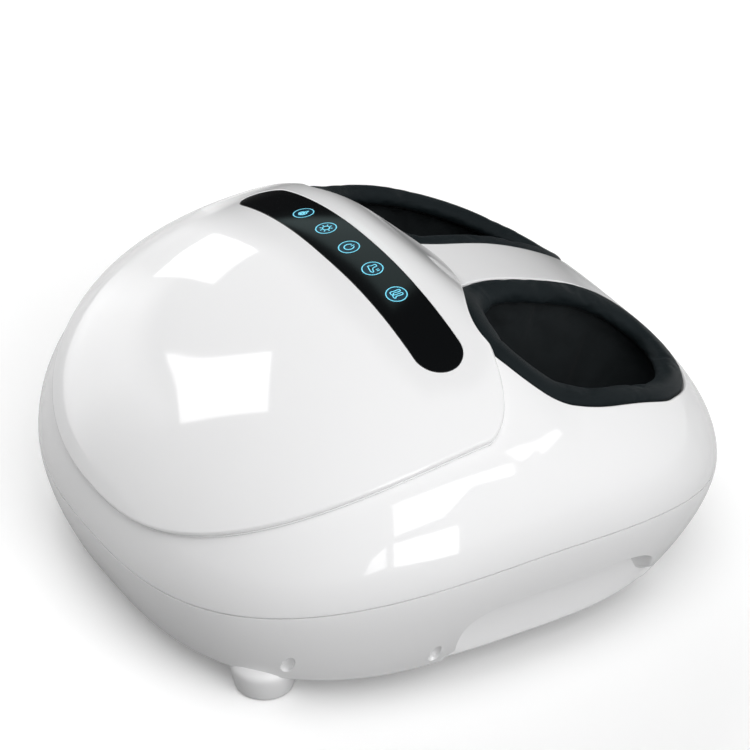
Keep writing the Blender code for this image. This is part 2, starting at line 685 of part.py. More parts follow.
def make_upper_housing():
    """The upper shell with its toe opening, two foot openings and four screw posts."""
    item = crown_sheet("upper_housing", 0.0, -WALL, WHITE)
    for name, x, y in post_places():
        label = "post_" + name
        low = FOOT_HEIGHT + WALL + BOSS_HEIGHT / 2 + FIT_GAP
        slant = POST_RADIUS
        high = min(crown_height(x + across, y + along) for across in (-slant, slant) for along in (-slant, slant))
        post = add_cutter(label, cylinder(label, POST_RADIUS, low, high - WALL / 3, (x, y), SMALL_TURN_COUNT))
        combine(item, post, "UNION")
        hole = bore("bore_" + name, SCREW_RADIUS + FIT_GAP, low - OVERRUN, low + SCREW_REACH, (x, y))
        combine(item, add_cutter("bore_" + name, hole))
    top = SEAM_HEIGHT + DOME_HEIGHT + OVERRUN
    opening = []
    for step in range(COVER_COUNT + 1):
        angle = math.pi + math.pi * step / COVER_COUNT
        x, y = superellipse(angle, COVER_HALF_WIDTH - COVER_LEDGE, COVER_FRONT_REACH - COVER_LEDGE, DOME_POWER)
        opening.append((x, COVER_WIDEST_Y + y))
    side_x = COVER_HALF_WIDTH - COVER_LEDGE
    for start in (0.0, math.pi / 2):
        for step in range(5):
            angle = start + math.pi / 2 * step / 4
            reach = side_x - FRONT_OPENING_CORNER
            opening.append((math.copysign(reach, math.pi / 4 - start) + FRONT_OPENING_CORNER * math.cos(angle),
                            FRONT_OPENING_REAR_Y - FRONT_OPENING_CORNER + FRONT_OPENING_CORNER * math.sin(angle)))
    combine(item, add_cutter("toe_opening", prism("toe_opening", opening, SEAM_HEIGHT - SEAM_BOW, top)))
    for name, side in (("left", -1), ("right", 1)):
        outline = mirrored(mouth_outline(), side)
        label = "mouth_" + name
        combine(item, add_cutter(label, prism(label, outline, SEAM_HEIGHT - SEAM_BOW, top)))


def make_dome_cover():
    """The raised toe cover with the slot for the control window."""
    item = crown_sheet("dome_cover", COVER_PROUD, FIT_GAP, WHITE)
    low, top = SEAM_HEIGHT - 2 * SEAM_BOW, SEAM_HEIGHT + DOME_HEIGHT + OVERRUN
    combine(item, add_cutter("cover_outline", prism("cover_outline", cover_outline(), low, top)), "INTERSECT")
    slot = slot_outline(WINDOW_HALF_LENGTH + FIT_GAP, WINDOW_HALF_WIDTH + FIT_GAP, WINDOW_Y)
    combine(item, add_cutter("window_slot", prism("window_slot", slot, low, top)))


def make_control_window():
    """The curved black window and the flexible key board behind it."""
    low, top = SEAM_HEIGHT, SEAM_HEIGHT + DOME_HEIGHT + OVERRUN
    face = COVER_PROUD - WINDOW_SINK
    window = crown_sheet("control_window", face, face - WINDOW_THICKNESS, WINDOW)
    outline = slot_outline(WINDOW_HALF_LENGTH, WINDOW_HALF_WIDTH, WINDOW_Y)
    combine(window, add_cutter("window_outline", prism("window_outline", outline, low, top)), "INTERSECT")
    face -= WINDOW_THICKNESS + FIT_GAP
    board = crown_sheet("touch_board", face, face - BOARD_THICKNESS, BOARD)
    outline = slot_outline(BOARD_HALF_LENGTH, BOARD_HALF_WIDTH, WINDOW_Y)
    combine(board, add_cutter("board_outline", prism("board_outline", outline, low, top)), "INTERSECT")


def liner_line(along, rise):
    """Y and Z of a place in the pocket's side view, by shares of its length and height."""
    return Vector((LINER_TOE_Y + (LINER_HEEL_Y - LINER_TOE_Y) * along,
                   LINER_SOLE_Z + (LINER_BROW_TOP_Z - LINER_TOE_TOP_Z) * rise))


def liner_top(along, rise):
    """Y and Z of a place on the pocket's upper line."""
    return liner_line(along, rise) + Vector((0.0, LINER_TOE_TOP_Z - LINER_SOLE_Z))


def liner_rings():
    """Rings of the pocket on the +X side, from the toe end to the mouth under the collar."""
    rings = []
    for top_along, top_rise, sole_along, sole_rise, width_share in LINER_STATION_SHARES:
        top = liner_top(top_along, top_rise)
        low = liner_line(sole_along, sole_rise)
        width = LINER_TOE_HALF_WIDTH + (LINER_HALF_WIDTH - LINER_TOE_HALF_WIDTH) * width_share
        ring = []
        for step in range(LINER_COUNT):
            across, along = superellipse(math.tau * step / LINER_COUNT, 1.0, 1.0, LINER_POWER)
            place = (top + low) / 2 + (top - low) / 2 * along
            ring.append(Vector((KNEAD_X + width * across, place.x, place.y)))
        rings.append(ring)
    drop = COLLAR_DROP + COLLAR_RADIUS + LINER_THICKNESS * LINER_LIP_SHARE + RUN_GAP
    spots = [mouth_at(-math.tau * step / LINER_COUNT) for step in range(LINER_COUNT)]
    lip = [Vector((spot.x, spot.y, crown_height(spot.x, spot.y) - drop)) for spot in spots]
    for share in LIP_RING_SHARES:
        ring = []
        for low, high in zip(rings[len(LINER_STATION_SHARES) - 1], lip):
            sag = LIP_SAG_SHARE * share * (1 - share) * (high - low).length if high.y > MOUTH_Y else 0.0
            ring.append(low.lerp(high, share) - Vector((0.0, 0.0, sag)))
        rings.append(ring)
    rings.append(lip)
    return rings


def mouth_at(heading):
    """The inset mouth outline's point in a direction from the opening's middle."""
    curve = mouth_outline(COLLAR_INSET, 4 * OUTLINE_COUNT)
    return min(curve, key=lambda p: abs(math.remainder(math.atan2(
        (p.y - MOUTH_Y) / MOUTH_HALF_LENGTH, (p.x - MOUTH_X) / MOUTH_HALF_WIDTH) - heading, math.tau)))


def make_foot_wells():
    """A fabric pocket and its padded collar in each foot opening."""
    rings = liner_rings()
    for name, side in (("left", -1), ("right", 1)):
        placed = [[(side * point.x, point.y, point.z) for point in ring] for ring in rings]
        label = "foot_liner_" + name
        item = add_part(label, loft(label, placed, close_last=False), FABRIC)
        wall = item.modifiers.new("Wall", "SOLIDIFY")
        wall.thickness = LINER_THICKNESS
        wall.offset = -1.0
        label = "liner_collar_" + name
        curve = bpy.data.curves.new(label, "CURVE")
        curve.dimensions = "3D"
        curve.bevel_depth = COLLAR_RADIUS
        curve.bevel_resolution = 1
        spline = curve.splines.new("POLY")
        path = mouth_outline(COLLAR_INSET, OUTLINE_COUNT - 8)
        spline.points.add(len(path) - 1)
        for target, point in zip(spline.points, path):
            target.co = (side * point.x, point.y, crown_height(point.x, point.y) - COLLAR_DROP, 1.0)
        spline.use_cyclic_u = True
        curve.materials.append(COLLAR)
        parts.objects.link(bpy.data.objects.new(label, curve))


def make_feet():
    """Four turned feet with rubber pads, each held by a screw in its well."""
    ledge = FOOT_HEIGHT - FOOT_LEDGE
    bottom = PAD_THICKNESS + FIT_GAP
    top = FOOT_HEIGHT - FIT_GAP
    bore, well = SCREW_RADIUS + FIT_GAP, SCREW_HEAD_RADIUS + 2 * FIT_GAP
    for name, x, y in foot_places():
        profile = [(bore, top), (FOOT_TOP_RADIUS, top), (FOOT_WAIST_RADIUS, (top + bottom) / 2),
                   (FOOT_BOTTOM_RADIUS, bottom + FOOT_ROUND), (FOOT_BOTTOM_RADIUS - FOOT_ROUND, bottom),
                   (well, bottom), (well, ledge), (bore, ledge)]
        turned("foot_" + name, profile, WHITE, (x, y, 0.0), closed=True)
        turned("rubber_pad_" + name, [(0.0, PAD_THICKNESS), (PAD_RADIUS, PAD_THICKNESS), (PAD_RADIUS, 0.0),
                                      (0.0, 0.0)], RUBBER, (x, y, 0.0))
        make_screw("foot_screw_" + name, x, y, ledge - FIT_GAP, FOOT_HEIGHT + BOSS_HEIGHT - WALL - 2 * FIT_GAP)
    for name, x, y in post_places():
        seat = FOOT_HEIGHT + BOSS_HEIGHT / 2 - FIT_GAP
        make_screw("housing_screw_" + name, x, y, seat, seat + WALL + SCREW_REACH - FIT_GAP)


def make_screw(name, x, y, seat, tip):
    """A pan-head screw pointing up, its head under the seat."""
    profile = [(0.0, tip), (SCREW_RADIUS, tip - SCREW_RADIUS), (SCREW_RADIUS, seat),
               (SCREW_HEAD_RADIUS, seat), (SCREW_HEAD_RADIUS * 0.8, seat - SCREW_HEAD_HEIGHT),
               (0.0, seat - SCREW_HEAD_HEIGHT)]
    turned(name, profile, STEEL, (x, y, 0.0), count=SMALL_TURN_COUNT)


def plate_extent():
    """Low and high corners of the mechanism plate."""
    high_x = KNEAD_X + PLATE_MARGIN
    return -high_x, high_x, ROW_CENTRE_Y - ROW_PITCH - PLATE_MARGIN, ROW_CENTRE_Y + ROW_PITCH + PLATE_MARGIN


def make_mechanism_plate():
    """The plate that steadies the axles over the gears and carries the motor."""
    top = PLATE_LOW_Z + PLATE_THICKNESS
    outline = rounded_rectangle(*plate_extent(), PLATE_CORNER)
    plate = add_part("mechanism_plate", prism("mechanism_plate", outline, PLATE_LOW_Z, top), BLACK)
    holes = [(x, y, HUB_RADIUS + RUN_GAP) for _, _, x, y in head_places()]
    holes += [(0.0, ROW_CENTRE_Y, AXLE_RADIUS + FIT_GAP), (0.0, PINION_Y, SHAFT_RADIUS + RUN_GAP)]
    for index, (x, y, radius) in enumerate(holes):
        name = "plate_hole_%d" % index
        hole = bore(name, radius, PLATE_LOW_Z - OVERRUN, top + OVERRUN, (x, y))
        combine(plate, add_cutter(name, hole))


def axis_empty(name, x, y):
    """An empty on a joint's axis."""
    empty = bpy.data.objects.new(name, None)
    empty.location = (x, y, 0.0)
    parts.objects.link(empty)
    return empty


def make_kneading_heads():
    """Gear, disc and axle of every kneading head."""
    gear_top = GEAR_LOW_Z + GEAR_THICKNESS
    disc_low = PLATE_LOW_Z + PLATE_THICKNESS + 3 * RUN_GAP
    disc_top = disc_low + DISC_THICKNESS
    hub_top = disc_low - FIT_GAP
    axle_hole = bore("axle_hole", AXLE_RADIUS + FIT_GAP, GEAR_LOW_Z - OVERRUN, disc_top + OVERRUN)
    hub = cylinder("head_hub", HUB_RADIUS, GEAR_LOW_Z + GEAR_THICKNESS / 2, hub_top, count=SMALL_TURN_COUNT)
    key = cylinder("head_key", HEX_RADIUS, GEAR_LOW_Z + GEAR_THICKNESS / 2, disc_top - FIT_GAP, count=6)
    socket = cylinder("head_socket", HEX_RADIUS + FIT_GAP, disc_low - OVERRUN, disc_top + OVERRUN, count=6)
    nodes = []
    for index in range(NODES_PER_DISC):
        angle = math.tau * index / NODES_PER_DISC
        spot = (NODE_RING_RADIUS * math.cos(angle), NODE_RING_RADIUS * math.sin(angle), disc_top - FIT_GAP)
        nodes.append(ellipsoid("head_node_%d" % index, (NODE_RADIUS, NODE_RADIUS, NODE_HEIGHT), spot))
    base = cylinder("head_base", DISC_RADIUS, disc_low - OVERRUN * 2, disc_low)
    for side_name, row_name, x, y in head_places():
        place = (x, y, 0.0)
        label = "%s_%s" % (side_name, row_name)
        axis = axis_empty("axis_" + label, x, y)
        phase = 0.0 if row_name == "arch" else math.pi / HEAD_TEETH
        outline = gear_outline(HEAD_TEETH, phase)
        gear_mesh = prism("kneading_gear_" + label, outline, GEAR_LOW_Z, gear_top)
        gear = add_part("kneading_gear_" + label, gear_mesh, NYLON, axis, place)
        combine(gear, add_cutter("hub_" + label, hub, place), "UNION")
        combine(gear, add_cutter("key_" + label, key, place), "UNION")
        combine(gear, add_cutter("bore_" + label, axle_hole, place))
        disc_mesh = cylinder("kneading_disc_" + label, DISC_RADIUS, disc_low, disc_top)
        disc = add_part("kneading_disc_" + label, disc_mesh, HEAD, axis, place)
        for index, node in enumerate(nodes):
            combine(disc, add_cutter("node_%s_%d" % (label, index), node, place), "UNION")
        combine(disc, add_cutter("base_" + label, base, place))
        combine(disc, add_cutter("socket_" + label, socket, place))
        low = GEAR_LOW_Z - AXLE_SEAT_DEPTH
        tip = disc_top + AXLE_TIP
        turned("head_axle_" + label, [(0.0, tip), (AXLE_RADIUS, tip), (AXLE_RADIUS, low), (0.0, low)], STEEL,
               place, count=SMALL_TURN_COUNT)


def make_drive():
    """Drive wheel on its axle, the motor's pinion and the gear motor."""
    gear_top = GEAR_LOW_Z + GEAR_THICKNESS
    axis = axis_empty("axis_drive", 0.0, ROW_CENTRE_Y)
    place = (0.0, ROW_CENTRE_Y, 0.0)
    outline = gear_outline(DRIVE_TEETH, math.pi / DRIVE_TEETH)
    wheel = add_part("drive_wheel", prism("drive_wheel", outline, GEAR_LOW_Z, gear_top), NYLON, axis, place)
    hub = cylinder("drive_hub", HUB_RADIUS, GEAR_LOW_Z + GEAR_THICKNESS / 2, gear_top + DRIVE_HUB_HEIGHT)
    combine(wheel, add_cutter("drive_hub", hub, place), "UNION")
    axle_hole = bore("drive_bore", AXLE_RADIUS + FIT_GAP, GEAR_LOW_Z - OVERRUN, gear_top + OVERRUN)
    combine(wheel, add_cutter("drive_bore", axle_hole, place))
    low, tip = GEAR_LOW_Z - AXLE_SEAT_DEPTH, PLATE_LOW_Z + PLATE_THICKNESS
    turned("drive_axle", [(0.0, tip), (AXLE_RADIUS, tip), (AXLE_RADIUS, low), (0.0, low)], STEEL, place,
           count=SMALL_TURN_COUNT)
    axis = axis_empty("axis_pinion", 0.0, PINION_Y)
    place = (0.0, PINION_Y, 0.0)
    pinion_mesh = prism("motor_pinion", gear_outline(PINION_TEETH, 0.0), GEAR_LOW_Z, gear_top)
    pinion = add_part("motor_pinion", pinion_mesh, NYLON, axis, place)
    motor_low = PLATE_LOW_Z + PLATE_THICKNESS + FIT_GAP
    shaft = cylinder("pinion_shaft", SHAFT_RADIUS, GEAR_LOW_Z + GEAR_THICKNESS / 2, motor_low + SHAFT_DEPTH,
                     count=SMALL_TURN_COUNT)
    combine(pinion, add_cutter("pinion_shaft", shaft, place), "UNION")
    gearbox_top = motor_low + MOTOR_GEARBOX_HEIGHT
    can_top = gearbox_top + MOTOR_CAN_HEIGHT
    bore_top = motor_low + SHAFT_DEPTH + RUN_GAP
    profile = [(0.0, can_top + MOTOR_BOSS_HEIGHT), (MOTOR_BOSS_RADIUS, can_top + MOTOR_BOSS_HEIGHT),
               (MOTOR_BOSS_RADIUS, can_top), (MOTOR_CAN_RADIUS, can_top), (MOTOR_CAN_RADIUS, gearbox_top),
               (MOTOR_GEARBOX_RADIUS, gearbox_top), (MOTOR_GEARBOX_RADIUS, motor_low),
               (SHAFT_RADIUS + RUN_GAP, motor_low), (SHAFT_RADIUS + RUN_GAP, bore_top), (0.0, bore_top)]
    turned("gear_motor", profile, STEEL, place)


def inlet_face_y():
    """Y of the rear wall's outer face at the inlet's height."""
    rear = WIDEST_Y + REAR_REACH
    high = seam_height(rear) - SEAM_GAP / 2
    share = (INLET_Z - FOOT_HEIGHT) / (high - FOOT_HEIGHT)
    return rear - TRAY_INSET_REAR * (1 - share) ** TRAY_TAPER_POWER


def make_electrics():
    """Air pump, valve block, main board and the rear power inlet."""
    floor = FOOT_HEIGHT + WALL + FIT_GAP
    pump_x, pump_y = PUMP_PLACE
    pump_mesh = box("air_pump", PUMP_SIZE, (pump_x, pump_y, floor + PUMP_SIZE[2] / 2))
    pump = add_part("air_pump", pump_mesh, BLACK)
    head_z = floor + PUMP_SIZE[2]
    dome = cylinder("pump_head", PUMP_HEAD_RADIUS, head_z - PUMP_HEAD_LENGTH, head_z + PUMP_HEAD_LENGTH / 3,
                    (pump_x, pump_y))
    combine(pump, add_cutter("pump_head", dome), "UNION")
    valve_x, valve_y = VALVE_PLACE
    valve_mesh = box("valve_block", VALVE_SIZE, (valve_x, valve_y, floor + VALVE_SIZE[2] / 2))
    valve = add_part("valve_block", valve_mesh, NYLON)
    for index in range(3):
        label = "nozzle_%d" % index
        x = valve_x + (index - 1) * VALVE_SIZE[0] / 3
        top = floor + VALVE_SIZE[2]
        nozzle = cylinder(label, NOZZLE_RADIUS, top - NOZZLE_LENGTH, top + NOZZLE_LENGTH, (x, valve_y),
                          SMALL_TURN_COUNT)
        combine(valve, add_cutter(label, nozzle), "UNION")
    board_x, board_y = MAIN_BOARD_PLACE
    board_z = floor + MAIN_BOARD_STAND + MAIN_BOARD_SIZE[2] / 2
    board = add_part("main_board", box("main_board", MAIN_BOARD_SIZE, (board_x, board_y, board_z)), BOARD)
    coil = box("board_coil", COIL_SIZE, (board_x, board_y, board_z + COIL_SIZE[2] / 2))
    combine(board, add_cutter("board_coil", coil), "UNION")
    face = inlet_face_y() - INLET_SINK
    inlet_mesh = box("power_inlet", INLET_SIZE, (0.0, face - INLET_SIZE[1] / 2, INLET_Z))
    inlet = add_part("power_inlet", inlet_mesh, BLACK)
    pocket = box("inlet_pocket", (INLET_POCKET[0], 2 * INLET_POCKET[1], INLET_POCKET[2]), (0.0, face, INLET_Z))
    combine(inlet, add_cutter("inlet_pocket", pocket))
    for side in (-1, 1):
        label = "inlet_pin_left" if side < 0 else "inlet_pin_right"
        size = (2 * INLET_PIN_RADIUS, INLET_POCKET[1], 2 * INLET_PIN_RADIUS)
        pin = box(label, size, (side * INLET_PIN_SPACING / 2, face - INLET_POCKET[1] * 0.6, INLET_Z))
        combine(inlet, add_cutter(label, pin), "UNION")


def make_soft_inside():
    """Air bags beside and above each pocket and the heater under the toes."""
    for name, side in (("left", -1), ("right", 1)):
        bag_x = KNEAD_X + LINER_HALF_WIDTH + FIT_GAP + SIDE_BAG_HALF[0]
        place = (side * bag_x, *SIDE_BAG_PLACE)
        add_part("side_airbag_" + name, ellipsoid("side_airbag_" + name, SIDE_BAG_HALF, place), BAG)
        before, after = (liner_top(*station[:2]) for station in LINER_STATION_SHARES[3:5])
        slope = (after.y - before.y) / (after.x - before.x)
        centre = (before + after) / 2
        rise = math.hypot(INSTEP_BAG_HALF[1] * slope, INSTEP_BAG_HALF[2]) + FIT_GAP
        place = (side * KNEAD_X, centre.x, centre.y + rise)
        add_part("instep_airbag_" + name, ellipsoid("instep_airbag_" + name, INSTEP_BAG_HALF, place), BAG)
        place = (side * KNEAD_X, HEATER_Y, LINER_SOLE_Z - FIT_GAP - HEATER_SIZE[2] / 2)
        add_part("heating_pad_" + name, box("heating_pad_" + name, HEATER_SIZE, place), HEATER)


def main():
    """Build every piece."""
    clear_scene()
    make_lower_housing()
    make_upper_housing()
    make_dome_cover()
    make_control_window()
    make_foot_wells()
    make_feet()
    make_mechanism_plate()
    make_kneading_heads()
    make_drive()
    make_electrics()
    make_soft_inside()


main()
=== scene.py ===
"""Visual model of a domed shiatsu foot massager, laid out as a Blender add-on.

The toe end points along -Y, the foot openings lie towards +Y and the massager
stands on Z = 0. All sizes are in metres.
"""

import math
from contextlib import contextmanager

import bmesh
import bpy
import numpy as np
from mathutils import Matrix, Vector
from mathutils.geometry import delaunay_2d_cdt
from mathutils.kdtree import KDTree


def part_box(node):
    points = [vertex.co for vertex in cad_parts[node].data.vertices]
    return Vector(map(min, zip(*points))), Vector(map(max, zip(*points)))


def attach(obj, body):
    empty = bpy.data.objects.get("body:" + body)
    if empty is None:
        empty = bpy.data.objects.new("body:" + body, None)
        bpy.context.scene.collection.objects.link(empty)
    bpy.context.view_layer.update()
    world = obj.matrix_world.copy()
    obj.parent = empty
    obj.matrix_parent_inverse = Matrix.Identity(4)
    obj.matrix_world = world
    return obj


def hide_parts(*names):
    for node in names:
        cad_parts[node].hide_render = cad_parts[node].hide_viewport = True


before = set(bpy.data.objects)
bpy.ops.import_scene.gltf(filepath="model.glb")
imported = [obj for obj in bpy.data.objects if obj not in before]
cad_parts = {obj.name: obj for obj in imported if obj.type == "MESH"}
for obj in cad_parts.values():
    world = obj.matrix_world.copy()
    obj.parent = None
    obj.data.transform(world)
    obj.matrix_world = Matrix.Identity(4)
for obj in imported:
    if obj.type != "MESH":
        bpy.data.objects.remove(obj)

bl_info = {
    "name": "Shiatsu foot massager",
    "version": (1, 0, 0),
    "blender": (4, 5, 0),
    "location": "View3D > Sidebar > Massager",
    "description": "Builds a domed foot massager with fabric foot wells, and its studio",
    "category": "Object",
}

HOUSING_LOW, HOUSING_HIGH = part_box("upper_housing")
HALF_WIDTH = (HOUSING_HIGH[0] - HOUSING_LOW[0]) / 2
SIDES = (("left", -1), ("right", 1))

# Plan of the housing and its parting seam
FRONT_REACH = 0.214
REAR_REACH = 0.1967
PLAN_POWER = 2.64
WIDEST_Y = (FRONT_REACH - REAR_REACH) / 2
PLAN_CENTRE = np.array([0.0, WIDEST_Y])
REAR_Y = WIDEST_Y + REAR_REACH
SEAM_HEIGHT = 0.0957
SEAM_BOW = 0.0307
SEAM_TILT = 0.0021

# Crown: dome, brow and deck
DOME_HEIGHT = 0.1153
DECK_HEIGHT = 0.0875
DECK_REAR_HEIGHT = 0.0735
DOME_POWER = 2.0
DECK_POWER = 3.5
BROW_FRONT_Y = -0.0016
BROW_REAR_Y = 0.0503
LOWER_RIM = 0.0008
UNDER_HOLE = (0.0, -0.085, 0.125, 0.070)
UNDER_HOLE_RIM = 0.0005
UNDER_HOLE_PITCH = 0.004
SEAM_PITCH = 0.0025
LOOP_PITCH = 0.002

# Tray with its grips, dimples, screw holes and socket hole
FOOT_HEIGHT = 0.018
TRAY_INSET_SIDE = 0.026
TRAY_INSET_FRONT = 0.0128
TRAY_INSET_REAR = 0.025
TRAY_TAPER_POWER = 1.6
TRAY_CORNER_POWER = 2.1
TRAY_ROUND = 0.0036
TRAY_LOW = FOOT_HEIGHT + 0.0022
TRAY_WALL_SHARE = 0.8
TRAY_PITCH_SHARE = 0.9
GRIP_INSET = 0.0266
GRIP_OUTLINE = ((-0.0440, 0.0185), (-0.0475, 0.0280), (-0.0490, 0.0370), (-0.0480, 0.0480), (-0.0430, 0.0560),
                (-0.0350, 0.0605), (-0.0240, 0.0628), (-0.0080, 0.0634), (0.0140, 0.0642), (0.0400, 0.0646),
                (0.0590, 0.0644), (0.0740, 0.0625), (0.0860, 0.0570), (0.0960, 0.0480), (0.1020, 0.0340),
                (0.1040, 0.0185))
GRIP_EDGE = 0.0011
GRIP_REAR_SOFTNESS = 0.0032
GRIP_SOFT_Y = 0.072
GRIP_SOFT_RUN = 0.024
GRIP_PITCH = 0.0018
GRIP_RINGS = (0.0, 0.0004, 0.0008, 0.0013, 0.0022, 0.0040)
GRIP_RING_FLOOR = 0.0012
PATTERN_HEIGHT = 0.085
PATTERN_ROWS = 34
DIMPLE_DEPTH = 0.0030
DIMPLE_POWER = 0.55
DIMPLE_REACH = 0.03
DIMPLES = ((0.1435, -0.1475, 0.0348, 0.0029, 0.0078), (0.1770, -0.0622, 0.0310, 0.0036, 0.0074))
DIMPLE_RINGS = ((0.0, 1), (0.3, 8), (0.55, 12), (0.75, 18), (0.9, 24), (0.98, 28), (1.05, 28), (1.25, 24))
SOCKET_HEIGHT = 0.044
SOCKET_HALF = (0.0123, 0.0073)
SOCKET_ROUND = 0.0015
SOCKET_PITCH = 0.0015
FLOOR_PITCH = 0.010
SCREW_HOLE_RADIUS = 0.0048
SCREW_HOLE_DEPTH = 0.0055
SCREW_SPOTS = ((-0.142, -0.095), (0.142, -0.095), (0.0, 0.122), (0.0, 0.1644))

# Cover over the toes, in plan
COVER_HALF_WIDTH = 0.164
COVER_REACH = 0.1765
COVER_WIDEST_Y = -0.023
COVER_POWER = 2.54
COVER_REAR_X = 0.110
COVER_CORNER = ((0.1637, -0.0183), (0.1599, -0.0108), (0.1533, -0.0038), (0.1446, 0.0016), (0.1347, 0.0058),
                (0.1232, 0.0091))
BROW_SHARES = (0.0446, -6.77, 339.0)

# Foot opening on the +X side
MOUTH = ((0.0331, 0.0412), (0.0518, 0.0266), (0.0802, 0.0145), (0.1073, 0.0094), (0.1266, 0.0171),
         (0.1421, 0.0283), (0.1505, 0.0403), (0.1550, 0.0584), (0.1544, 0.0807), (0.1473, 0.1177),
         (0.1389, 0.1349), (0.1253, 0.1521), (0.1066, 0.1659), (0.0802, 0.1771), (0.0550, 0.1788),
         (0.0350, 0.1659), (0.0260, 0.1401), (0.0260, 0.0997), (0.0260, 0.0618))

# Control window and its icons, which are drawn in millimetres
MILLIMETRE = 0.001
WINDOW_HALF_LENGTH = 0.120
WINDOW_HALF_WIDTH = 0.0154
WINDOW_Y = -0.0224
WINDOW_SINK = 0.0003
WINDOW_DEPTH = 0.0024
WINDOW_RIM = 0.0005
WINDOW_PITCH = 0.0032
SLOT_CLEARANCE = 0.0004
SLOT_RIM = 0.0006
ICON_PITCH = 0.0281
ICON_Y = -0.0213
ICON_RING = 6.4
ICON_DISC = 6.2
ICON_DISC_STEPS = 48
ICON_DISC_RISE = 0.00005
ICON_LINE_RISE = 0.00012

# Padded collars and fabric pockets
KNEAD_X = 0.088
KNEAD_SPOTS = (-0.060, 0.004, 0.068)
COLLAR_INSET = 0.0072
COLLAR_HALF_WIDTH = 0.0080
COLLAR_TOE_WIDTH = 0.0030
COLLAR_TUCK = 0.0008
COLLAR_HALF_HEIGHT = 0.0060
COLLAR_DROP = 0.0052
COLLAR_TOE_Y = 0.085
COLLAR_TOE_RUN = 0.07
COLLAR_PITCH = 0.0024
COLLAR_STEPS = 24
COLLAR_ACROSS_POWER = 0.88
COLLAR_UP_POWER = 0.92
COLLAR_INNER_SLOPE = 0.20
COLLAR_SWELL = 0.0014
COLLAR_SMOOTHINGS = 12
COLLAR_PUCKER_LIFT = 0.35
COLLAR_HELD_OUT = 0.72
COLLAR_HELD_LOW = 0.8
COLLAR_LOW_HOLD = 0.6
COLLAR_PUCKERS = ((0.06, 0.0016, 0.05), (0.11, 0.0011, 0.035), (0.155, 0.0014, 0.05), (0.42, 0.0012, 0.06),
                  (0.60, 0.0016, 0.04), (0.66, 0.0012, 0.04), (0.88, 0.0010, 0.05))
POCKET_HALF_WIDTH = 0.0478
POCKET_TOE_HALF_WIDTH = 0.0338
POCKET_POWER = 2.6
POCKET_TOE_Y = -0.127
POCKET_LENGTH = 0.277
POCKET_SOLE_Z = 0.0617
POCKET_TOE_TOP_Z = 0.1138
POCKET_RISE = 0.064
POCKET_STATIONS = ((0.0, 0.0, 0.0, 0.12, 0.0), (0.015, 0.3, 0.015, 0.02, 0.55), (0.06, 0.46, 0.06, 0.0, 0.9),
                   (0.17, 0.56, 0.19, 0.0, 1.0), (0.31, 0.65, 0.35, 0.0, 1.0), (0.43, 0.76, 0.55, 0.0, 1.0),
                   (0.485, 0.88, 0.74, 0.0, 1.0), (0.51, 1.0, 0.90, 0.02, 1.0))
POCKET_LIP_DROP = 0.0125
POCKET_LIP_MIDDLE = (0.0905, 0.0945)
POCKET_LIP_HALF = (0.0645, 0.086)
POCKET_SAG_SHARE = 0.5
POCKET_STEPS = 96
POCKET_PITCH = 0.0035
POCKET_CLOTH = 0.0024
POCKET_SETTLE = 0.0045
SOLE_TOP_Z = 0.075
SOLE_FADE = 0.010
SOLE_HELD_SHARE = 0.4
SOLE_HOLD = 0.8
NODE_COUNT = 3
NODE_RING = 0.0165
NODE_SPREAD = 0.0085
NODE_HEIGHT = 0.0034

# Feet and screws
FOOT_SPOTS = ((-0.118, -0.147), (0.118, -0.147), (-0.118, 0.118), (0.118, 0.118))
FOOT_NAMES = ("front_left", "front_right", "rear_left", "rear_right")
SCREW_NAMES = ("front_left", "front_right", "middle", "rear")
FOOT_TONE_SHARE = 0.93
FOOT_BORE = 0.0023
FOOT_BORE_TOP = 0.0177
FOOT_SHOULDER = ((FOOT_BORE, 0.0240), (0.0100, 0.0240), (0.0150, 0.0236), (0.0186, 0.0224), (0.0207, 0.0206),
                 (0.0218, 0.0184))
FOOT_FLANK = ((0.0219, 0.0162), (0.0214, 0.0134), (0.0207, 0.0104), (0.0199, 0.0074), (0.0190, 0.0042))
FOOT_TOE = (0.0179, 0.0003)
FOOT_TOE_ROUND = 0.0018
FOOT_RIM = (0.0141, 0.0003)
FOOT_RIM_ROUND = 0.0004
FOOT_HOLLOW = ((0.0141, 0.0016), (0.0050, 0.0016), (0.0048, 0.0019), (0.0048, 0.0110), (FOOT_BORE, 0.0110),
               (FOOT_BORE, FOOT_BORE_TOP))
PAD_RADIUS = 0.0137
PAD_INNER = 0.0060
PAD_TOP = 0.0013
PAD_ROUND = 0.0004
FOOT_SCREW_SEAT = 0.0107
CASE_SCREW_SEAT = 0.0232
SCREW_PROFILE = ((0.0, 0.0145), (0.0008, 0.0140), (0.0018, 0.0120), (0.0018, 0.0), (0.0038, 0.0),
                 (0.0041, -0.0003), (0.0040, -0.0012), (0.0033, -0.0020), (0.0018, -0.0023), (0.0, -0.0023))
SCREW_CROSS = ((0.0036, 0.0008, 0.003), (0.0008, 0.0036, 0.003))
SCREW_CROSS_Z = -0.0025

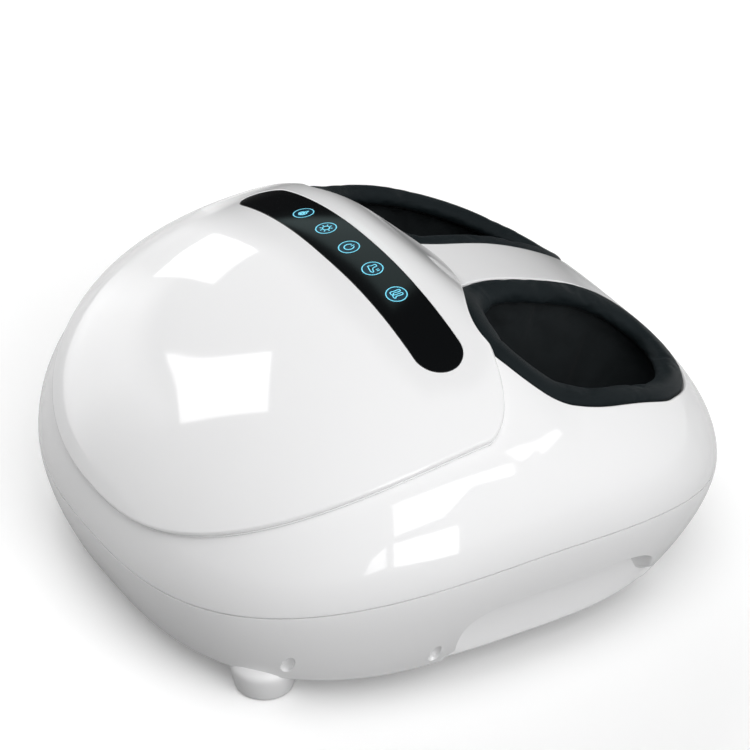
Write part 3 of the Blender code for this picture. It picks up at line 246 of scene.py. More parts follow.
# Finishes of the hidden parts: name, colour, roughness, spread, grain and peel
HIDDEN_FINISHES = {
    "nylon": ("moulded nylon", (0.70, 0.68, 0.60), 0.42, 0.08, 600.0, 0.05),
    "black": ("black plastic", (0.02, 0.02, 0.02), 0.5, 0.1, 900.0, 0.12),
    "head": ("head plastic", (0.25, 0.26, 0.28), 0.45, 0.08, 700.0, 0.06),
    "board": ("circuit board", (0.03, 0.16, 0.07), 0.45, 0.1, 500.0, 0.03),
    "heater": ("heater film", (0.45, 0.20, 0.05), 0.5, 0.08, 500.0, 0.05),
}
HIDDEN_PARTS = (("kneading_gear", "nylon"), ("kneading_disc", "head"), ("head_axle", "zinc"),
                ("drive_wheel", "nylon"), ("drive_axle", "zinc"), ("motor_pinion", "nylon"),
                ("gear_motor", "zinc"), ("air_pump", "black"), ("valve_block", "nylon"),
                ("main_board", "board"), ("touch_board", "board"), ("power_inlet", "black"),
                ("mechanism_plate", "black"), ("heating_pad", "heater"))

# Cloth and air bags
CLOTH = {"quality": 6, "mass": 0.2, "tension_stiffness": 12.0, "compression_stiffness": 12.0,
         "bending_stiffness": 0.4}
CLOTH_FRAMES = 20
BAG_FLAT_SHARE = 0.97
BAG_THICK_SHARE = 0.94
BAG_CRIMPS = 14
BAG_CRIMP_SHARE = 0.025

# Photograph's viewpoint
EYE = (1.42793, -0.8834, 1.18243)
EYE_RIGHT = (0.5135, 0.8578, 0.0227)
EYE_UP = (-0.471, 0.2597, 0.843)
EYE_BACK = (0.7173, -0.4436, 0.5374)
EYE_LENS = 149.1
EYE_SENSOR = 36.0

# Meshing
SHARP_ANGLE = math.radians(35)
TRAY_SHARP_ANGLE = math.radians(32)
SHARP_COSINE = 0.70
MERGE_GAP = 2e-5
SMALL_RIM = 0.0006
LIP_STEP_SHARE = 0.6
ROLL_DEGREES = (15, 30, 45, 60, 75, 90)
ROLL_UNDER_DEGREES = (22.5, 45, 67.5, 90)
PATTERN_PASSES = 6
EXTRA_GAP_SHARE = 0.6
EDGE_GAP_SHARE = 0.55
EXTRA_EDGE_GAP_SHARE = 0.15


# Settings shown in the sidebar


class MassagerSizes(bpy.types.PropertyGroup):
    """Sizes of the moulded shells."""

    wall: bpy.props.FloatProperty(
        name="Wall", description="Wall thickness of the moulded shells", default=0.003, unit="LENGTH")
    seam_gap: bpy.props.FloatProperty(
        name="Seam gap", description="Gap between the tray and the upper shell", default=0.0004,
        unit="LENGTH")
    cover_proud: bpy.props.FloatProperty(
        name="Cover proud", description="How far the toe cover stands above the shell", default=0.0042,
        unit="LENGTH")
    cover_edge: bpy.props.FloatProperty(
        name="Cover edge", description="Radius of the toe cover's outer edge", default=0.0025, unit="LENGTH")
    cover_lip: bpy.props.FloatProperty(
        name="Cover lip", description="Width of the narrow lip below the toe cover's edge", default=0.0009,
        unit="LENGTH")
    mouth_edge: bpy.props.FloatProperty(
        name="Opening edge", description="Radius of the edge round each foot opening", default=0.0016,
        unit="LENGTH")
    mesh_pitch: bpy.props.FloatProperty(
        name="Mesh pitch", description="Spacing of the points on the large shells", default=0.0036,
        unit="LENGTH")


class MassagerFinishes(bpy.types.PropertyGroup):
    """Colours of the visible pieces."""

    shell: bpy.props.FloatVectorProperty(
        name="Shell", description="Colour of the upper shell and the toe cover", default=(0.86, 0.86, 0.865),
        subtype="COLOR")
    tray: bpy.props.FloatVectorProperty(
        name="Tray", description="Colour of the lower tray", default=(0.86, 0.86, 0.865), subtype="COLOR")
    window: bpy.props.FloatVectorProperty(
        name="Window", description="Colour of the control window", default=(0.004, 0.0045, 0.005),
        subtype="COLOR")
    icons: bpy.props.FloatVectorProperty(
        name="Icons", description="Colour of the lit touch icons", default=(0.16, 0.62, 0.80),
        subtype="COLOR")
    fabric: bpy.props.FloatVectorProperty(
        name="Fabric", description="Colour of the pocket fabric", default=(0.008, 0.010, 0.011),
        subtype="COLOR")
    collar: bpy.props.FloatVectorProperty(
        name="Collar", description="Colour of the padded collars", default=(0.007, 0.0102, 0.0117),
        subtype="COLOR")


# Lines, outlines and faces on the crown


def powered(value, power):
    """A value raised to a power with its sign kept."""
    return np.sign(value) * np.abs(value) ** power


def smooth_step(value):
    """Rise from 0 to 1 with level ends."""
    value = np.clip(value, 0.0, 1.0)
    return value * value * (3 - 2 * value)


def plan_share(offset):
    """How far out plan offsets from the widest line's middle lie, 1 on the outline."""
    reach = np.where(offset[:, 1] < 0, FRONT_REACH, REAR_REACH)
    total = np.abs(offset[:, 0] / HALF_WIDTH) ** PLAN_POWER + np.abs(offset[:, 1] / reach) ** PLAN_POWER
    return total ** (1 / PLAN_POWER)


def seam_plan(angle):
    """Plan places on the parting seam."""
    cosine, sine = np.cos(angle), np.sin(angle)
    reach = np.where(sine < 0, FRONT_REACH, REAR_REACH)
    return np.column_stack((HALF_WIDTH * powered(cosine, 2 / PLAN_POWER),
                            WIDEST_Y + reach * powered(sine, 2 / PLAN_POWER)))


def seam_height(y):
    """Height of the parting seam."""
    share = y / HALF_WIDTH
    return SEAM_HEIGHT - SEAM_BOW * share ** 2 + SEAM_TILT * share


def unroll(plan):
    """Plan places moved out so that even steps follow the crown's slope."""
    offset = plan - PLAN_CENTRE
    share = np.clip(plan_share(offset), 1e-9, 1.0)
    return PLAN_CENTRE + offset * (np.arcsin(share) * 2 / np.pi / share)[:, None]


def crown_face(flat):
    """Places on the crown's nominal face for unrolled plan places."""
    offset = flat - PLAN_CENTRE
    turn = np.maximum(plan_share(offset), 1e-9)
    share = np.sin(turn * np.pi / 2)
    plan = PLAN_CENTRE + offset * (share / turn)[:, None]
    y = plan[:, 1]
    blend = smooth_step((y - BROW_FRONT_Y) / (BROW_REAR_Y - BROW_FRONT_Y))
    slope = np.clip((y - BROW_REAR_Y) / (REAR_Y - BROW_REAR_Y), 0.0, 1.0)
    deck = DECK_HEIGHT + (DECK_REAR_HEIGHT - DECK_HEIGHT) * slope
    height = DOME_HEIGHT + (deck - DOME_HEIGHT) * blend
    power = DOME_POWER + (DECK_POWER - DOME_POWER) * blend
    rise = np.sqrt(np.maximum(1 - share ** power, 0.0)) * np.sign(1 - turn)
    gap = bpy.context.scene.massager_sizes.seam_gap
    return np.column_stack((plan, seam_height(y) + gap / 2 + height * rise))


def crown_slopes(flat):
    """How the crown's face moves with each unrolled plan direction."""
    step = 2e-5
    across, along = np.array([step, 0.0]), np.array([0.0, step])
    return ((crown_face(flat + across) - crown_face(flat - across)) / (2 * step),
            (crown_face(flat + along) - crown_face(flat - along)) / (2 * step))


def unit(vectors):
    """Vectors of length one."""
    return vectors / np.maximum(np.linalg.norm(vectors, axis=1), 1e-12)[:, None]


def crown_normal(flat):
    """Outward direction of the crown's face."""
    across, along = crown_slopes(flat)
    return unit(np.cross(across, along))


def spline(before, start, end, after, share):
    """Places between a start and an end, on the smooth line through four places."""
    return (2 * start + (end - before) * share + (2 * before - 5 * start + 4 * end - after) * share ** 2
            + (3 * start - before - 3 * end + after) * share ** 3) / 2


def closed_curve(points, steps=8):
    """A smooth closed curve through plan points."""
    points = np.asarray(points)
    before, after, last = np.roll(points, 1, 0), np.roll(points, -1, 0), np.roll(points, -2, 0)
    share = (np.arange(steps) / steps)[None, :, None]
    curve = spline(before[:, None], points[:, None], after[:, None], last[:, None], share)
    return curve.reshape(-1, points.shape[1])


def walked_along(line):
    """How far along an open line each of its points lies."""
    return np.concatenate(([0.0], np.cumsum(np.linalg.norm(np.diff(line, axis=0), axis=1))))


def even_points(points, pitch):
    """A closed line with evenly spaced points."""
    loop = np.vstack((points, points[:1]))
    walked = walked_along(loop)
    count = max(int(round(walked[-1] / pitch)), 8)
    spots = np.arange(count) * walked[-1] / count
    return np.column_stack([np.interp(spots, walked, loop[:, axis]) for axis in range(loop.shape[1])])


def turned_way(points, anticlockwise):
    """The closed plan line in the asked direction."""
    after = np.roll(points, -1, 0)
    area = np.sum(points[:, 0] * after[:, 1] - after[:, 0] * points[:, 1])
    return points if (area > 0) == anticlockwise else points[::-1]


def directions(loop):
    """Which way a closed line runs at each of its points."""
    return unit(np.roll(loop, -1, 0) - np.roll(loop, 1, 0))


def rightwards(loop):
    """Directions to the right of a closed plan line, which point out where it runs anticlockwise."""
    along = directions(loop)
    return np.column_stack((along[:, 1], -along[:, 0]))


def ellipse(x, y, half_x, half_y, steps):
    """Places round an ellipse."""
    turn = np.linspace(0, 2 * np.pi, steps, endpoint=False)
    return np.column_stack((x + half_x * np.cos(turn), y + half_y * np.sin(turn)))


def inside(places, loop):
    """Which plan places lie inside a closed line."""
    result = np.zeros(len(places), dtype=bool)
    x, y = places[:, 0], places[:, 1]
    for (x1, y1), (x2, y2) in zip(loop, np.roll(loop, -1, 0)):
        if y1 == y2:
            continue
        crossed = (y1 > y) != (y2 > y)
        result ^= crossed & (x < (x2 - x1) * (y - y1) / (y2 - y1) + x1)
    return result


def between(places, outer, holes):
    """Which plan places lie inside a closed line and outside its holes."""
    keep = inside(places, outer)
    for hole in holes:
        keep &= ~inside(places, hole)
    return keep


def nearest(places, others):
    """Distance from each plan place to the nearest of the others."""
    tree = KDTree(len(others))
    for index, (x, y) in enumerate(others):
        tree.insert((x, y, 0.0), index)
    tree.balance()
    return np.array([tree.find((x, y, 0.0))[2] for x, y in places])


def lattice(low, high, pitch):
    """Plan places on a grid of even triangles."""
    rows = []
    y, row = low[1], 0
    while y < high[1]:
        xs = np.arange(low[0] + (row % 2) * pitch / 2, high[0], pitch)
        rows.append(np.column_stack((xs, np.full(len(xs), y))))
        y += pitch * math.sqrt(3) / 2
        row += 1
    return np.vstack(rows)


def triangles_between(outer, holes, pitch, extra=None):
    """Points and triangles that fill a closed plan line round its holes, with extra points for fine forms."""
    loops = [outer] + list(holes)
    edge_points = np.vstack(loops)
    fill = lattice(outer.min(axis=0), outer.max(axis=0), pitch)
    edge_share = EDGE_GAP_SHARE
    if extra is not None:
        fill = np.vstack((fill[nearest(fill, extra) > pitch * EXTRA_GAP_SHARE], extra))
        edge_share = EXTRA_EDGE_GAP_SHARE
    fill = fill[between(fill, outer, holes)]
    fill = fill[nearest(fill, edge_points) > pitch * edge_share]
    points = np.vstack((edge_points, fill))
    edges, start = [], 0
    for loop in loops:
        edges += [(start + index, start + (index + 1) % len(loop)) for index in range(len(loop))]
        start += len(loop)
    result = delaunay_2d_cdt([Vector(point) for point in points], edges, [], 0, 1e-9, True)
    if any(not source for source in result[3]):
        raise RuntimeError("an outline crosses itself")
    source = np.array([item[0] for item in result[3]])
    faces = source[np.array(result[2])]
    keep = between(points[faces].mean(axis=1), outer, holes)
    return points, faces[keep], [len(loop) for loop in loops]


def linked(name, data):
    """An object in the scene for a mesh, a lamp or a camera."""
    item = bpy.data.objects.new(name, data)
    bpy.context.scene.collection.objects.link(item)
    return item


def new_mesh(name, points, faces):
    """A mesh from rows of points and of corner numbers."""
    mesh = bpy.data.meshes.new(name)
    mesh.from_pydata([tuple(point) for point in points], [], [tuple(map(int, face)) for face in faces])
    return mesh


def new_piece(name, points, faces, finish, normals=None):
    """A named object from points and faces, with smooth shading."""
    mesh = new_mesh(name, points, faces)
    mesh.validate()
    mesh.shade_smooth()
    if normals is None:
        mesh.set_sharp_from_angle(angle=SHARP_ANGLE)
    else:
        set_normals(mesh, normals)
    mesh.materials.append(finish)
    return linked(name, mesh)


def set_normals(mesh, normals):
    """Give each corner its point's true direction, or its face's where an edge is sharp."""
    corners = np.empty(len(mesh.loops), dtype=np.int32)
    mesh.loops.foreach_get("vertex_index", corners)
    sizes = np.empty(len(mesh.polygons), dtype=np.int32)
    mesh.polygons.foreach_get("loop_total", sizes)
    flat = np.empty(len(mesh.polygons) * 3)
    mesh.polygons.foreach_get("normal", flat)
    faces = np.repeat(flat.reshape(-1, 3), sizes, axis=0)
    wanted = normals[corners]
    sharp = np.sum(wanted * faces, axis=1) < SHARP_COSINE
    wanted = np.where(sharp[:, None], faces, wanted)
    mesh.normals_split_custom_set([tuple(row) for row in wanted])


def crown_piece(name, outer, holes, lift, depth, rims, pitch, finish, lip=0.0):
    """A shell on the crown with a rolled rim for each outline and a narrow lip round the outer one."""
    loops = []
    for index, loop in enumerate([outer] + list(holes)):
        flat = turned_way(unroll(loop), index == 0)
        across, along = crown_slopes(flat)
        normal = unit(np.cross(across, along))
        away = -np.cross(directions(crown_face(flat)), normal) * (rims[index] + (0.0 if index else lip))
        grid = np.stack((across, along), axis=2)
        square = np.einsum("nij,nik->njk", grid, grid)
        push = np.einsum("nij,ni->nj", grid, away)
        if index or rims[0] > SMALL_RIM:
            flat = flat + np.linalg.solve(square, push[:, :, None])[:, :, 0]
        loops.append(flat)
    flat, faces, sizes = triangles_between(loops[0], loops[1:], pitch)
    normal = crown_normal(flat)
    top = crown_face(flat) + normal * lift
    count = len(flat)
    points, normals = [top, top - normal * depth], [normal, -normal]
    corner = top[faces]
    up = np.cross(corner[:, 1] - corner[:, 0], corner[:, 2] - corner[:, 0])
    flip = np.sum(up * normal[faces[:, 0]], axis=1) < 0
    skin = [tuple(face[::-1]) if turn else tuple(face) for face, turn in zip(faces, flip)]
    skin += [(a + count, c + count, b + count) for a, b, c in skin]
    total, start = 2 * count, 0
    for index, (size, radius) in enumerate(zip(sizes, rims)):
        edge, up = top[start:start + size], normal[start:start + size]
        away = unit(np.cross(directions(edge), up))
        rings = [start + np.arange(size)]
        for angle in np.radians(ROLL_DEGREES):
            points.append(edge + away * radius * np.sin(angle) - up * radius * (1 - np.cos(angle)))
            normals.append(away * np.sin(angle) + up * np.cos(angle))
            rings.append(total + np.arange(size))
            total += size
        steps = ((radius, depth),)
        if lip and index == 0:
            steps = ((radius, depth - lip * LIP_STEP_SHARE), (radius + lip, depth - lip),
                     (radius + lip, depth))
        for reach, low in steps:
            points.append(edge + away * reach - up * low)
            normals.append(away)
            rings.append(total + np.arange(size))
            total += size
        rings.append(count + start + np.arange(size))
        for near, far in zip(rings, rings[1:]):
            skin += list(zip(near, far, np.roll(far, -1), np.roll(near, -1)))
        start += size
    return new_piece(name, np.vstack(points), skin, finish, np.vstack(normals))


def cover_outline():
    """The toe cover's outline, anticlockwise."""
    angle = np.linspace(-np.pi / 2, 0, 80)
    front = np.column_stack((COVER_HALF_WIDTH * np.cos(angle) ** (2 / COVER_POWER),
                             COVER_WIDEST_Y - COVER_REACH * np.abs(np.sin(angle)) ** (2 / COVER_POWER)))
    x = np.linspace(COVER_REAR_X, 0.0, 40)
    rear = np.column_stack((x, BROW_SHARES[0] + BROW_SHARES[1] * x ** 2 + BROW_SHARES[2] * x ** 4))
    corner = closed_curve(np.vstack((front[-2:], COVER_CORNER, rear[:2])), 6)[6:-12]
    half = np.vstack((front[1:-2], corner, rear[1:-1]))
    return np.vstack((front[:1], half, rear[-1:], (half * (-1, 1))[::-1]))


def slot_outline(half_length, half_width):
    """A slot with round ends, long across the housing."""
    angle = np.linspace(-np.pi / 2, np.pi / 2, 24)
    reach = half_length - half_width
    cap = np.column_stack((reach + half_width * np.cos(angle), half_width * np.sin(angle)))
    return np.vstack((cap, -cap)) + (0.0, WINDOW_Y)


def mouth_outline(side, grow=0.0):
    """A foot opening's outline, grown outwards."""
    loop = even_points(closed_curve(MOUTH), LOOP_PITCH)
    return (loop + rightwards(loop) * grow) * (side, 1)


def deselect():
    """Leave nothing selected."""
    if bpy.context.object and bpy.context.object.mode != "OBJECT":
        bpy.ops.object.mode_set(mode="OBJECT")
    bpy.ops.object.select_all(action="DESELECT")


def pick(item):
    """Select one piece alone and make it active."""
    deselect()
    item.select_set(True)
    bpy.context.view_layer.objects.active = item


def apply_step(item, kind, **settings):
    """Add a modifier to a piece and apply it."""
    pick(item)
    step = item.modifiers.new(kind.title(), kind)
    for key, value in settings.items():
        setattr(step, key, value)
    bpy.ops.object.modifier_apply(modifier=step.name)


@contextmanager
def edited(item):
    """A piece's mesh to edit in code, put back afterwards."""
    shape = bmesh.new()
    shape.from_mesh(item.data)
    yield shape
    shape.to_mesh(item.data)
    shape.free()


# Finishes


def set_sockets(tree, node, sockets):
    """Give a node's inputs their values, or link them to other nodes' outputs."""
    for label, value in sockets.items():
        if isinstance(value, bpy.types.NodeSocket):
            tree.links.new(value, node.inputs[label])
        else:
            node.inputs[label].default_value = value


def add_node(tree, kind, sockets=None, **settings):
    """A shader node with its settings and its inputs."""
    node = tree.nodes.new("ShaderNode" + kind)
    for key, value in settings.items():
        setattr(node, key, value)
    set_sockets(tree, node, sockets or {})
    return node


def maths(tree, operation, *values):
    """The output of a maths node over values and other nodes' outputs."""
    return add_node(tree, "Math", dict(enumerate(values)), operation=operation).outputs[0]


def new_group(name, inputs, outputs):
    """An empty shader group with its sockets."""
    group = bpy.data.node_groups.new(name, "ShaderNodeTree")
    for label, kind, value in inputs:
        group.interface.new_socket(name=label, in_out="INPUT", socket_type=kind).default_value = value
    for label, kind in outputs:
        group.interface.new_socket(name=label, in_out="OUTPUT", socket_type=kind)
    return group, group.nodes.new("NodeGroupInput").outputs, group.nodes.new("NodeGroupOutput")


def moulded_group():
    """Faint orange peel and uneven polish of moulded plastic."""
    if "Moulded plastic" in bpy.data.node_groups:
        return bpy.data.node_groups["Moulded plastic"]
    group, given, sink = new_group(
        "Moulded plastic",
        (("Colour", "NodeSocketColor", (0.8, 0.8, 0.8, 1.0)), ("Roughness", "NodeSocketFloat", 0.2),
         ("Spread", "NodeSocketFloat", 0.03), ("Grain", "NodeSocketFloat", 400.0)),
        (("Colour", "NodeSocketColor"), ("Roughness", "NodeSocketFloat"), ("Height", "NodeSocketFloat")))
    place = add_node(group, "TexCoord").outputs["Object"]
    broad = add_node(group, "TexNoise", {"Vector": place, "Scale": 9.0, "Detail": 3.0})
    fine = add_node(group, "TexNoise", {"Vector": place, "Scale": given["Grain"], "Detail": 2.0})
    uneven = maths(group, "SUBTRACT", broad.outputs["Fac"], 0.5)
    tone = add_node(group, "HueSaturation", {
        "Value": maths(group, "MULTIPLY_ADD", uneven, 0.02, 1.0), "Color": given["Colour"]})
    set_sockets(group, sink, {
        "Colour": tone.outputs["Color"],
        "Roughness": maths(group, "MULTIPLY_ADD", uneven, given["Spread"], given["Roughness"]),
        "Height": fine.outputs["Fac"]})
    return group


def woven_group():
    """Fine knit and soft unevenness of stretch fabric."""
    if "Woven fabric" in bpy.data.node_groups:
        return bpy.data.node_groups["Woven fabric"]
    group, given, sink = new_group(
        "Woven fabric",
        (("Colour", "NodeSocketColor", (0.02, 0.02, 0.02, 1.0)), ("Scale", "NodeSocketFloat", 900.0)),
        (("Colour", "NodeSocketColor"), ("Height", "NodeSocketFloat")))
    place = add_node(group, "TexCoord").outputs["Object"]
    threads = [add_node(group, "TexWave", {"Vector": place, "Scale": given["Scale"], "Distortion": 0.6},
                        bands_direction=direction).outputs["Fac"] for direction in ("X", "Y", "Z")]
    crossed = maths(group, "MULTIPLY", threads[0], threads[1])
    upright = maths(group, "MULTIPLY", threads[2], 0.6)
    broad = add_node(group, "TexNoise", {"Vector": place, "Scale": 35.0, "Detail": 5.0})
    tone = add_node(group, "HueSaturation", {
        "Value": maths(group, "MULTIPLY_ADD", broad.outputs["Fac"], 0.5, 0.75), "Color": given["Colour"]})
    set_sockets(group, sink, {"Colour": tone.outputs["Color"],
                              "Height": maths(group, "MAXIMUM", crossed, upright)})
    return group


def new_finish(name, group, values, bump, shading):
    """A material with a shared group's colour and relief, and bump as the relief's strength and distance."""
    finish = bpy.data.materials.new(name)
    finish.use_nodes = True
    tree = finish.node_tree
    surface = add_node(tree, "Group", values, node_tree=group).outputs
    relief = add_node(tree, "Bump", {"Strength": bump[0], "Distance": bump[1], "Height": surface["Height"]})
    set_sockets(tree, tree.nodes["Principled BSDF"], {
        "Base Color": surface["Colour"], "Normal": relief.outputs["Normal"], **shading})
    if "Roughness" in surface:
        set_sockets(tree, tree.nodes["Principled BSDF"], {"Roughness": surface["Roughness"]})
    return finish


def plastic(name, colour, roughness, spread=0.03, grain=400.0, peel=0.02, coat=0.0, metallic=0.0):
    """A moulded plastic, or a metal, with faint surface variation."""
    values = {"Colour": (*colour, 1.0), "Roughness": roughness, "Spread": spread, "Grain": grain}
    shading = {"Coat Weight": coat, "Coat Roughness": 0.03, "Metallic": metallic}
    return new_finish(name, moulded_group(), values, (peel, 0.001), shading)


def fabric(name, colour, scale, roughness, sheen, gloss):
    """A knitted or woven cloth."""
    values = {"Colour": (*colour, 1.0), "Scale": scale}
    shading = {"Roughness": roughness, "Specular IOR Level": gloss, "Sheen Weight": sheen,
               "Sheen Roughness": 0.4}
    return new_finish(name, woven_group(), values, (0.25, 0.0003), shading)


def lit(finish, colour, strength):
    """Make a finish glow."""
    set_sockets(finish.node_tree, finish.node_tree.nodes["Principled BSDF"],
                {"Emission Color": (*colour, 1.0), "Emission Strength": strength})


# Tray


def tray_inset(plan):
    """How far the tray's bottom edge lies inside the seam, for places on the outline."""
    share = plan[:, 1] ** 2 / np.sum(plan ** 2, axis=1)
    end = np.where(plan[:, 1] < 0, TRAY_INSET_FRONT, TRAY_INSET_REAR)
    return end + (TRAY_INSET_SIDE - end) * (1 - share) ** TRAY_CORNER_POWER


def line_distance(places, line):
    """Distance from places to an open line."""
    best = np.full(len(places), 1.0)
    for start, end in zip(line, line[1:]):
        along = end - start
        share = np.clip(((places - start) @ along) / (along @ along), 0.0, 1.0)
        best = np.minimum(best, np.linalg.norm(places - start - share[:, None] * along, axis=1))
    return best


class TrayWall:
    """The tray's wall as a flat pattern: how far round from the toe end, and how high."""

    def __init__(self, seam_gap):
        self.seam_gap = seam_gap
        self.seam = seam_plan(np.linspace(-np.pi / 2, 1.5 * np.pi, 4001))
        self.walked = walked_along(self.seam)
        self.length = self.walked[-1]
        grip = closed_curve(GRIP_OUTLINE, 6)[:(len(GRIP_OUTLINE) - 1) * 6]
        self.grip = np.vstack((grip, GRIP_OUTLINE[-1]))

    def top(self, y):
        """Height of the wall's upper edge."""
        return seam_height(y) - self.seam_gap / 2

    def plain(self, flat):
        """Seam places, heights and insets of pattern points."""
        spot = np.clip(flat[:, 0], 0.0, self.length)
        plan = np.column_stack([np.interp(spot, self.walked, self.seam[:, axis]) for axis in (0, 1)])
        share = flat[:, 1] / PATTERN_HEIGHT
        height = TRAY_LOW + (self.top(plan[:, 1]) - TRAY_LOW) * share
        return plan, height, tray_inset(plan) * np.maximum(1 - share, 0.0) ** TRAY_TAPER_POWER

    def place(self, flat):
        """Places of pattern points on the wall with its grips and dimples."""
        plan, height, inset = self.plain(flat)
        span = np.linalg.norm(plan, axis=1)
        placed = plan * (1 - inset / span)[:, None]
        side = np.column_stack((placed[:, 1], height))
        deep = inside(side, self.grip) & (np.abs(plan[:, 0]) > HALF_WIDTH / 2)
        soft = GRIP_EDGE + GRIP_REAR_SOFTNESS * smooth_step((side[:, 0] - GRIP_SOFT_Y) / GRIP_SOFT_RUN)
        cut = np.where(deep, smooth_step(line_distance(side, self.grip) / soft), 0.0)
        inset = inset + cut * np.maximum(GRIP_INSET - inset, 0.0)
        for x, y, z, half_y, half_z in DIMPLES:
            gap = ((side[:, 0] - y) / half_y) ** 2 + ((side[:, 1] - z) / half_z) ** 2
            gap = gap + ((np.abs(placed[:, 0]) - x) / DIMPLE_REACH) ** 2
            inset = inset + DIMPLE_DEPTH * np.clip(1 - gap, 0.0, 1.0) ** DIMPLE_POWER
        return np.column_stack((plan * (1 - inset / span)[:, None], height))

    def pattern(self, line, side):
        """Pattern points over a line given by Y and Z on one flank."""
        flank = self.seam[:, 0] * side > HALF_WIDTH / 2
        along, walked = self.seam[flank][:, 1], self.walked[flank]
        order = np.argsort(along)
        y = line[:, 0]
        for _ in range(PATTERN_PASSES):
            spot = np.interp(y, along[order], walked[order])
            high = self.top(np.interp(spot, self.walked, self.seam[:, 1]))
            share = (line[:, 1] - TRAY_LOW) / (high - TRAY_LOW)
            pattern = np.column_stack((spot, share * PATTERN_HEIGHT))
            plan, _, inset = self.plain(pattern)
            y = y + line[:, 0] - plan[:, 1] * (1 - inset / np.linalg.norm(plan, axis=1))
        return pattern

    def border(self, count):
        """The pattern's own outline, with a number of steps along its lower edge."""
        along = np.arange(count + 1) * self.length / count
        rise = np.arange(1, PATTERN_ROWS) * PATTERN_HEIGHT / PATTERN_ROWS
        low = np.column_stack((along, np.zeros(count + 1)))
        high = np.column_stack((along, np.full(count + 1, PATTERN_HEIGHT)))[::-1]
        right = np.column_stack((np.full(len(rise), self.length), rise))
        left = np.column_stack((np.zeros(len(rise)), rise[::-1]))
        return np.vstack((low, right, high, left))

    def details(self):
        """Extra pattern points that follow the edges of the grips and the dimples."""
        found = []
        for _, side in SIDES:
            line = even_points(self.grip, GRIP_PITCH)
            for step in GRIP_RINGS:
                ring = line + rightwards(line) * step
                found.append(self.pattern(ring[ring[:, 1] > TRAY_LOW + GRIP_RING_FLOOR], side))
            for _, y, z, half_y, half_z in DIMPLES:
                for share, steps in DIMPLE_RINGS:
                    found.append(self.pattern(ellipse(y, z, share * half_y, share * half_z, steps), side))
        return np.vstack(found)

    def socket(self):
        """The rear socket hole's outline on the pattern."""
        corners = []
        for across, up, start in ((1, 1, 0), (-1, 1, 90), (-1, -1, 180), (1, -1, 270)):
            for turn in np.radians(start + np.linspace(0, 90, 5)):
                corners.append((across * (SOCKET_HALF[0] - SOCKET_ROUND) + SOCKET_ROUND * np.cos(turn),
                                up * (SOCKET_HALF[1] - SOCKET_ROUND) + SOCKET_ROUND * np.sin(turn)))
        corners = np.array(corners)
        rear = self.walked[np.argmax(self.seam[:, 1])]
        share = (SOCKET_HEIGHT + corners[:, 1] - TRAY_LOW) / (self.top(REAR_Y) - TRAY_LOW)
        hole = np.column_stack((rear - corners[:, 0], share * PATTERN_HEIGHT))
        return turned_way(even_points(hole, SOCKET_PITCH), False)


class MASSAGER_OT_tray(bpy.types.Operator):
    """Build the lower tray with its side grips, dimples and rear socket hole"""

    bl_idname = "massager.tray"
    bl_label = "Tray"

    def execute(self, context):
        """Wrap a flat pattern of the wall round the seam, then close the floor."""
        sizes = context.scene.massager_sizes
        colours = context.scene.massager_finishes
        wall = TrayWall(sizes.seam_gap)
        count = int(wall.length / SEAM_PITCH)
        flat, faces, _ = triangles_between(wall.border(count), [wall.socket()],
                                           sizes.mesh_pitch * TRAY_PITCH_SHARE, wall.details())
        points = wall.place(flat)
        shape = bmesh.new()
        made = [shape.verts.new(point) for point in points]
        for face in faces:
            shape.faces.new([made[i] for i in face])
        floor = self.roll_under(shape, made[:count + 1], points[:count + 1])
        self.close_floor(shape, turned_way(floor, True))
        bmesh.ops.remove_doubles(shape, verts=shape.verts[:], dist=MERGE_GAP)
        bmesh.ops.recalc_face_normals(shape, faces=shape.faces[:])
        mesh = bpy.data.meshes.new("tray")
        shape.to_mesh(mesh)
        shape.free()
        item = linked("tray", mesh)
        mesh.materials.append(plastic("tray plastic", colours.tray, roughness=0.22, spread=0.05, grain=500.0,
                                      peel=0.02))
        apply_step(item, "SOLIDIFY", thickness=sizes.wall * TRAY_WALL_SHARE, offset=-1.0)
        item.data.shade_smooth()
        item.data.set_sharp_from_angle(angle=TRAY_SHARP_ANGLE)
        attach(item, "housing")
        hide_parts("lower_housing")
        return {"FINISHED"}

    def roll_under(self, shape, ring, edge):
        """Round the wall's lower edge down to the floor, and return where it ends."""
        inward = -unit(np.column_stack((edge[:, :2], np.zeros(len(edge)))))
        for turn in np.radians(ROLL_UNDER_DEGREES):
            place = edge + inward * TRAY_ROUND * (1 - np.cos(turn))
            place[:, 2] = FOOT_HEIGHT + (TRAY_LOW - FOOT_HEIGHT) * (1 - np.sin(turn))
            fresh = [shape.verts.new(point) for point in place]
            for index in range(len(edge) - 1):
                shape.faces.new((ring[index], fresh[index], fresh[index + 1], ring[index + 1]))
            ring = fresh
        return place[:-1, :2]

    def close_floor(self, shape, outline):
        """Fill the floor and sink the screw holes into it."""
        holes = [turned_way(ellipse(x, y, SCREW_HOLE_RADIUS, SCREW_HOLE_RADIUS, 24), False)
                 for x, y in SCREW_SPOTS]
        plan, tiles, counts = triangles_between(outline, holes, FLOOR_PITCH)
        made = [shape.verts.new((x, y, FOOT_HEIGHT)) for x, y in plan]
        for face in tiles:
            shape.faces.new([made[i] for i in face[::-1]])
        start = counts[0]
        for size in counts[1:]:
            loop = made[start:start + size]
            deeper = [shape.verts.new(vert.co + Vector((0, 0, SCREW_HOLE_DEPTH))) for vert in loop]
            for index in range(size):
                shape.faces.new((loop[index - 1], loop[index], deeper[index], deeper[index - 1]))
            start += size


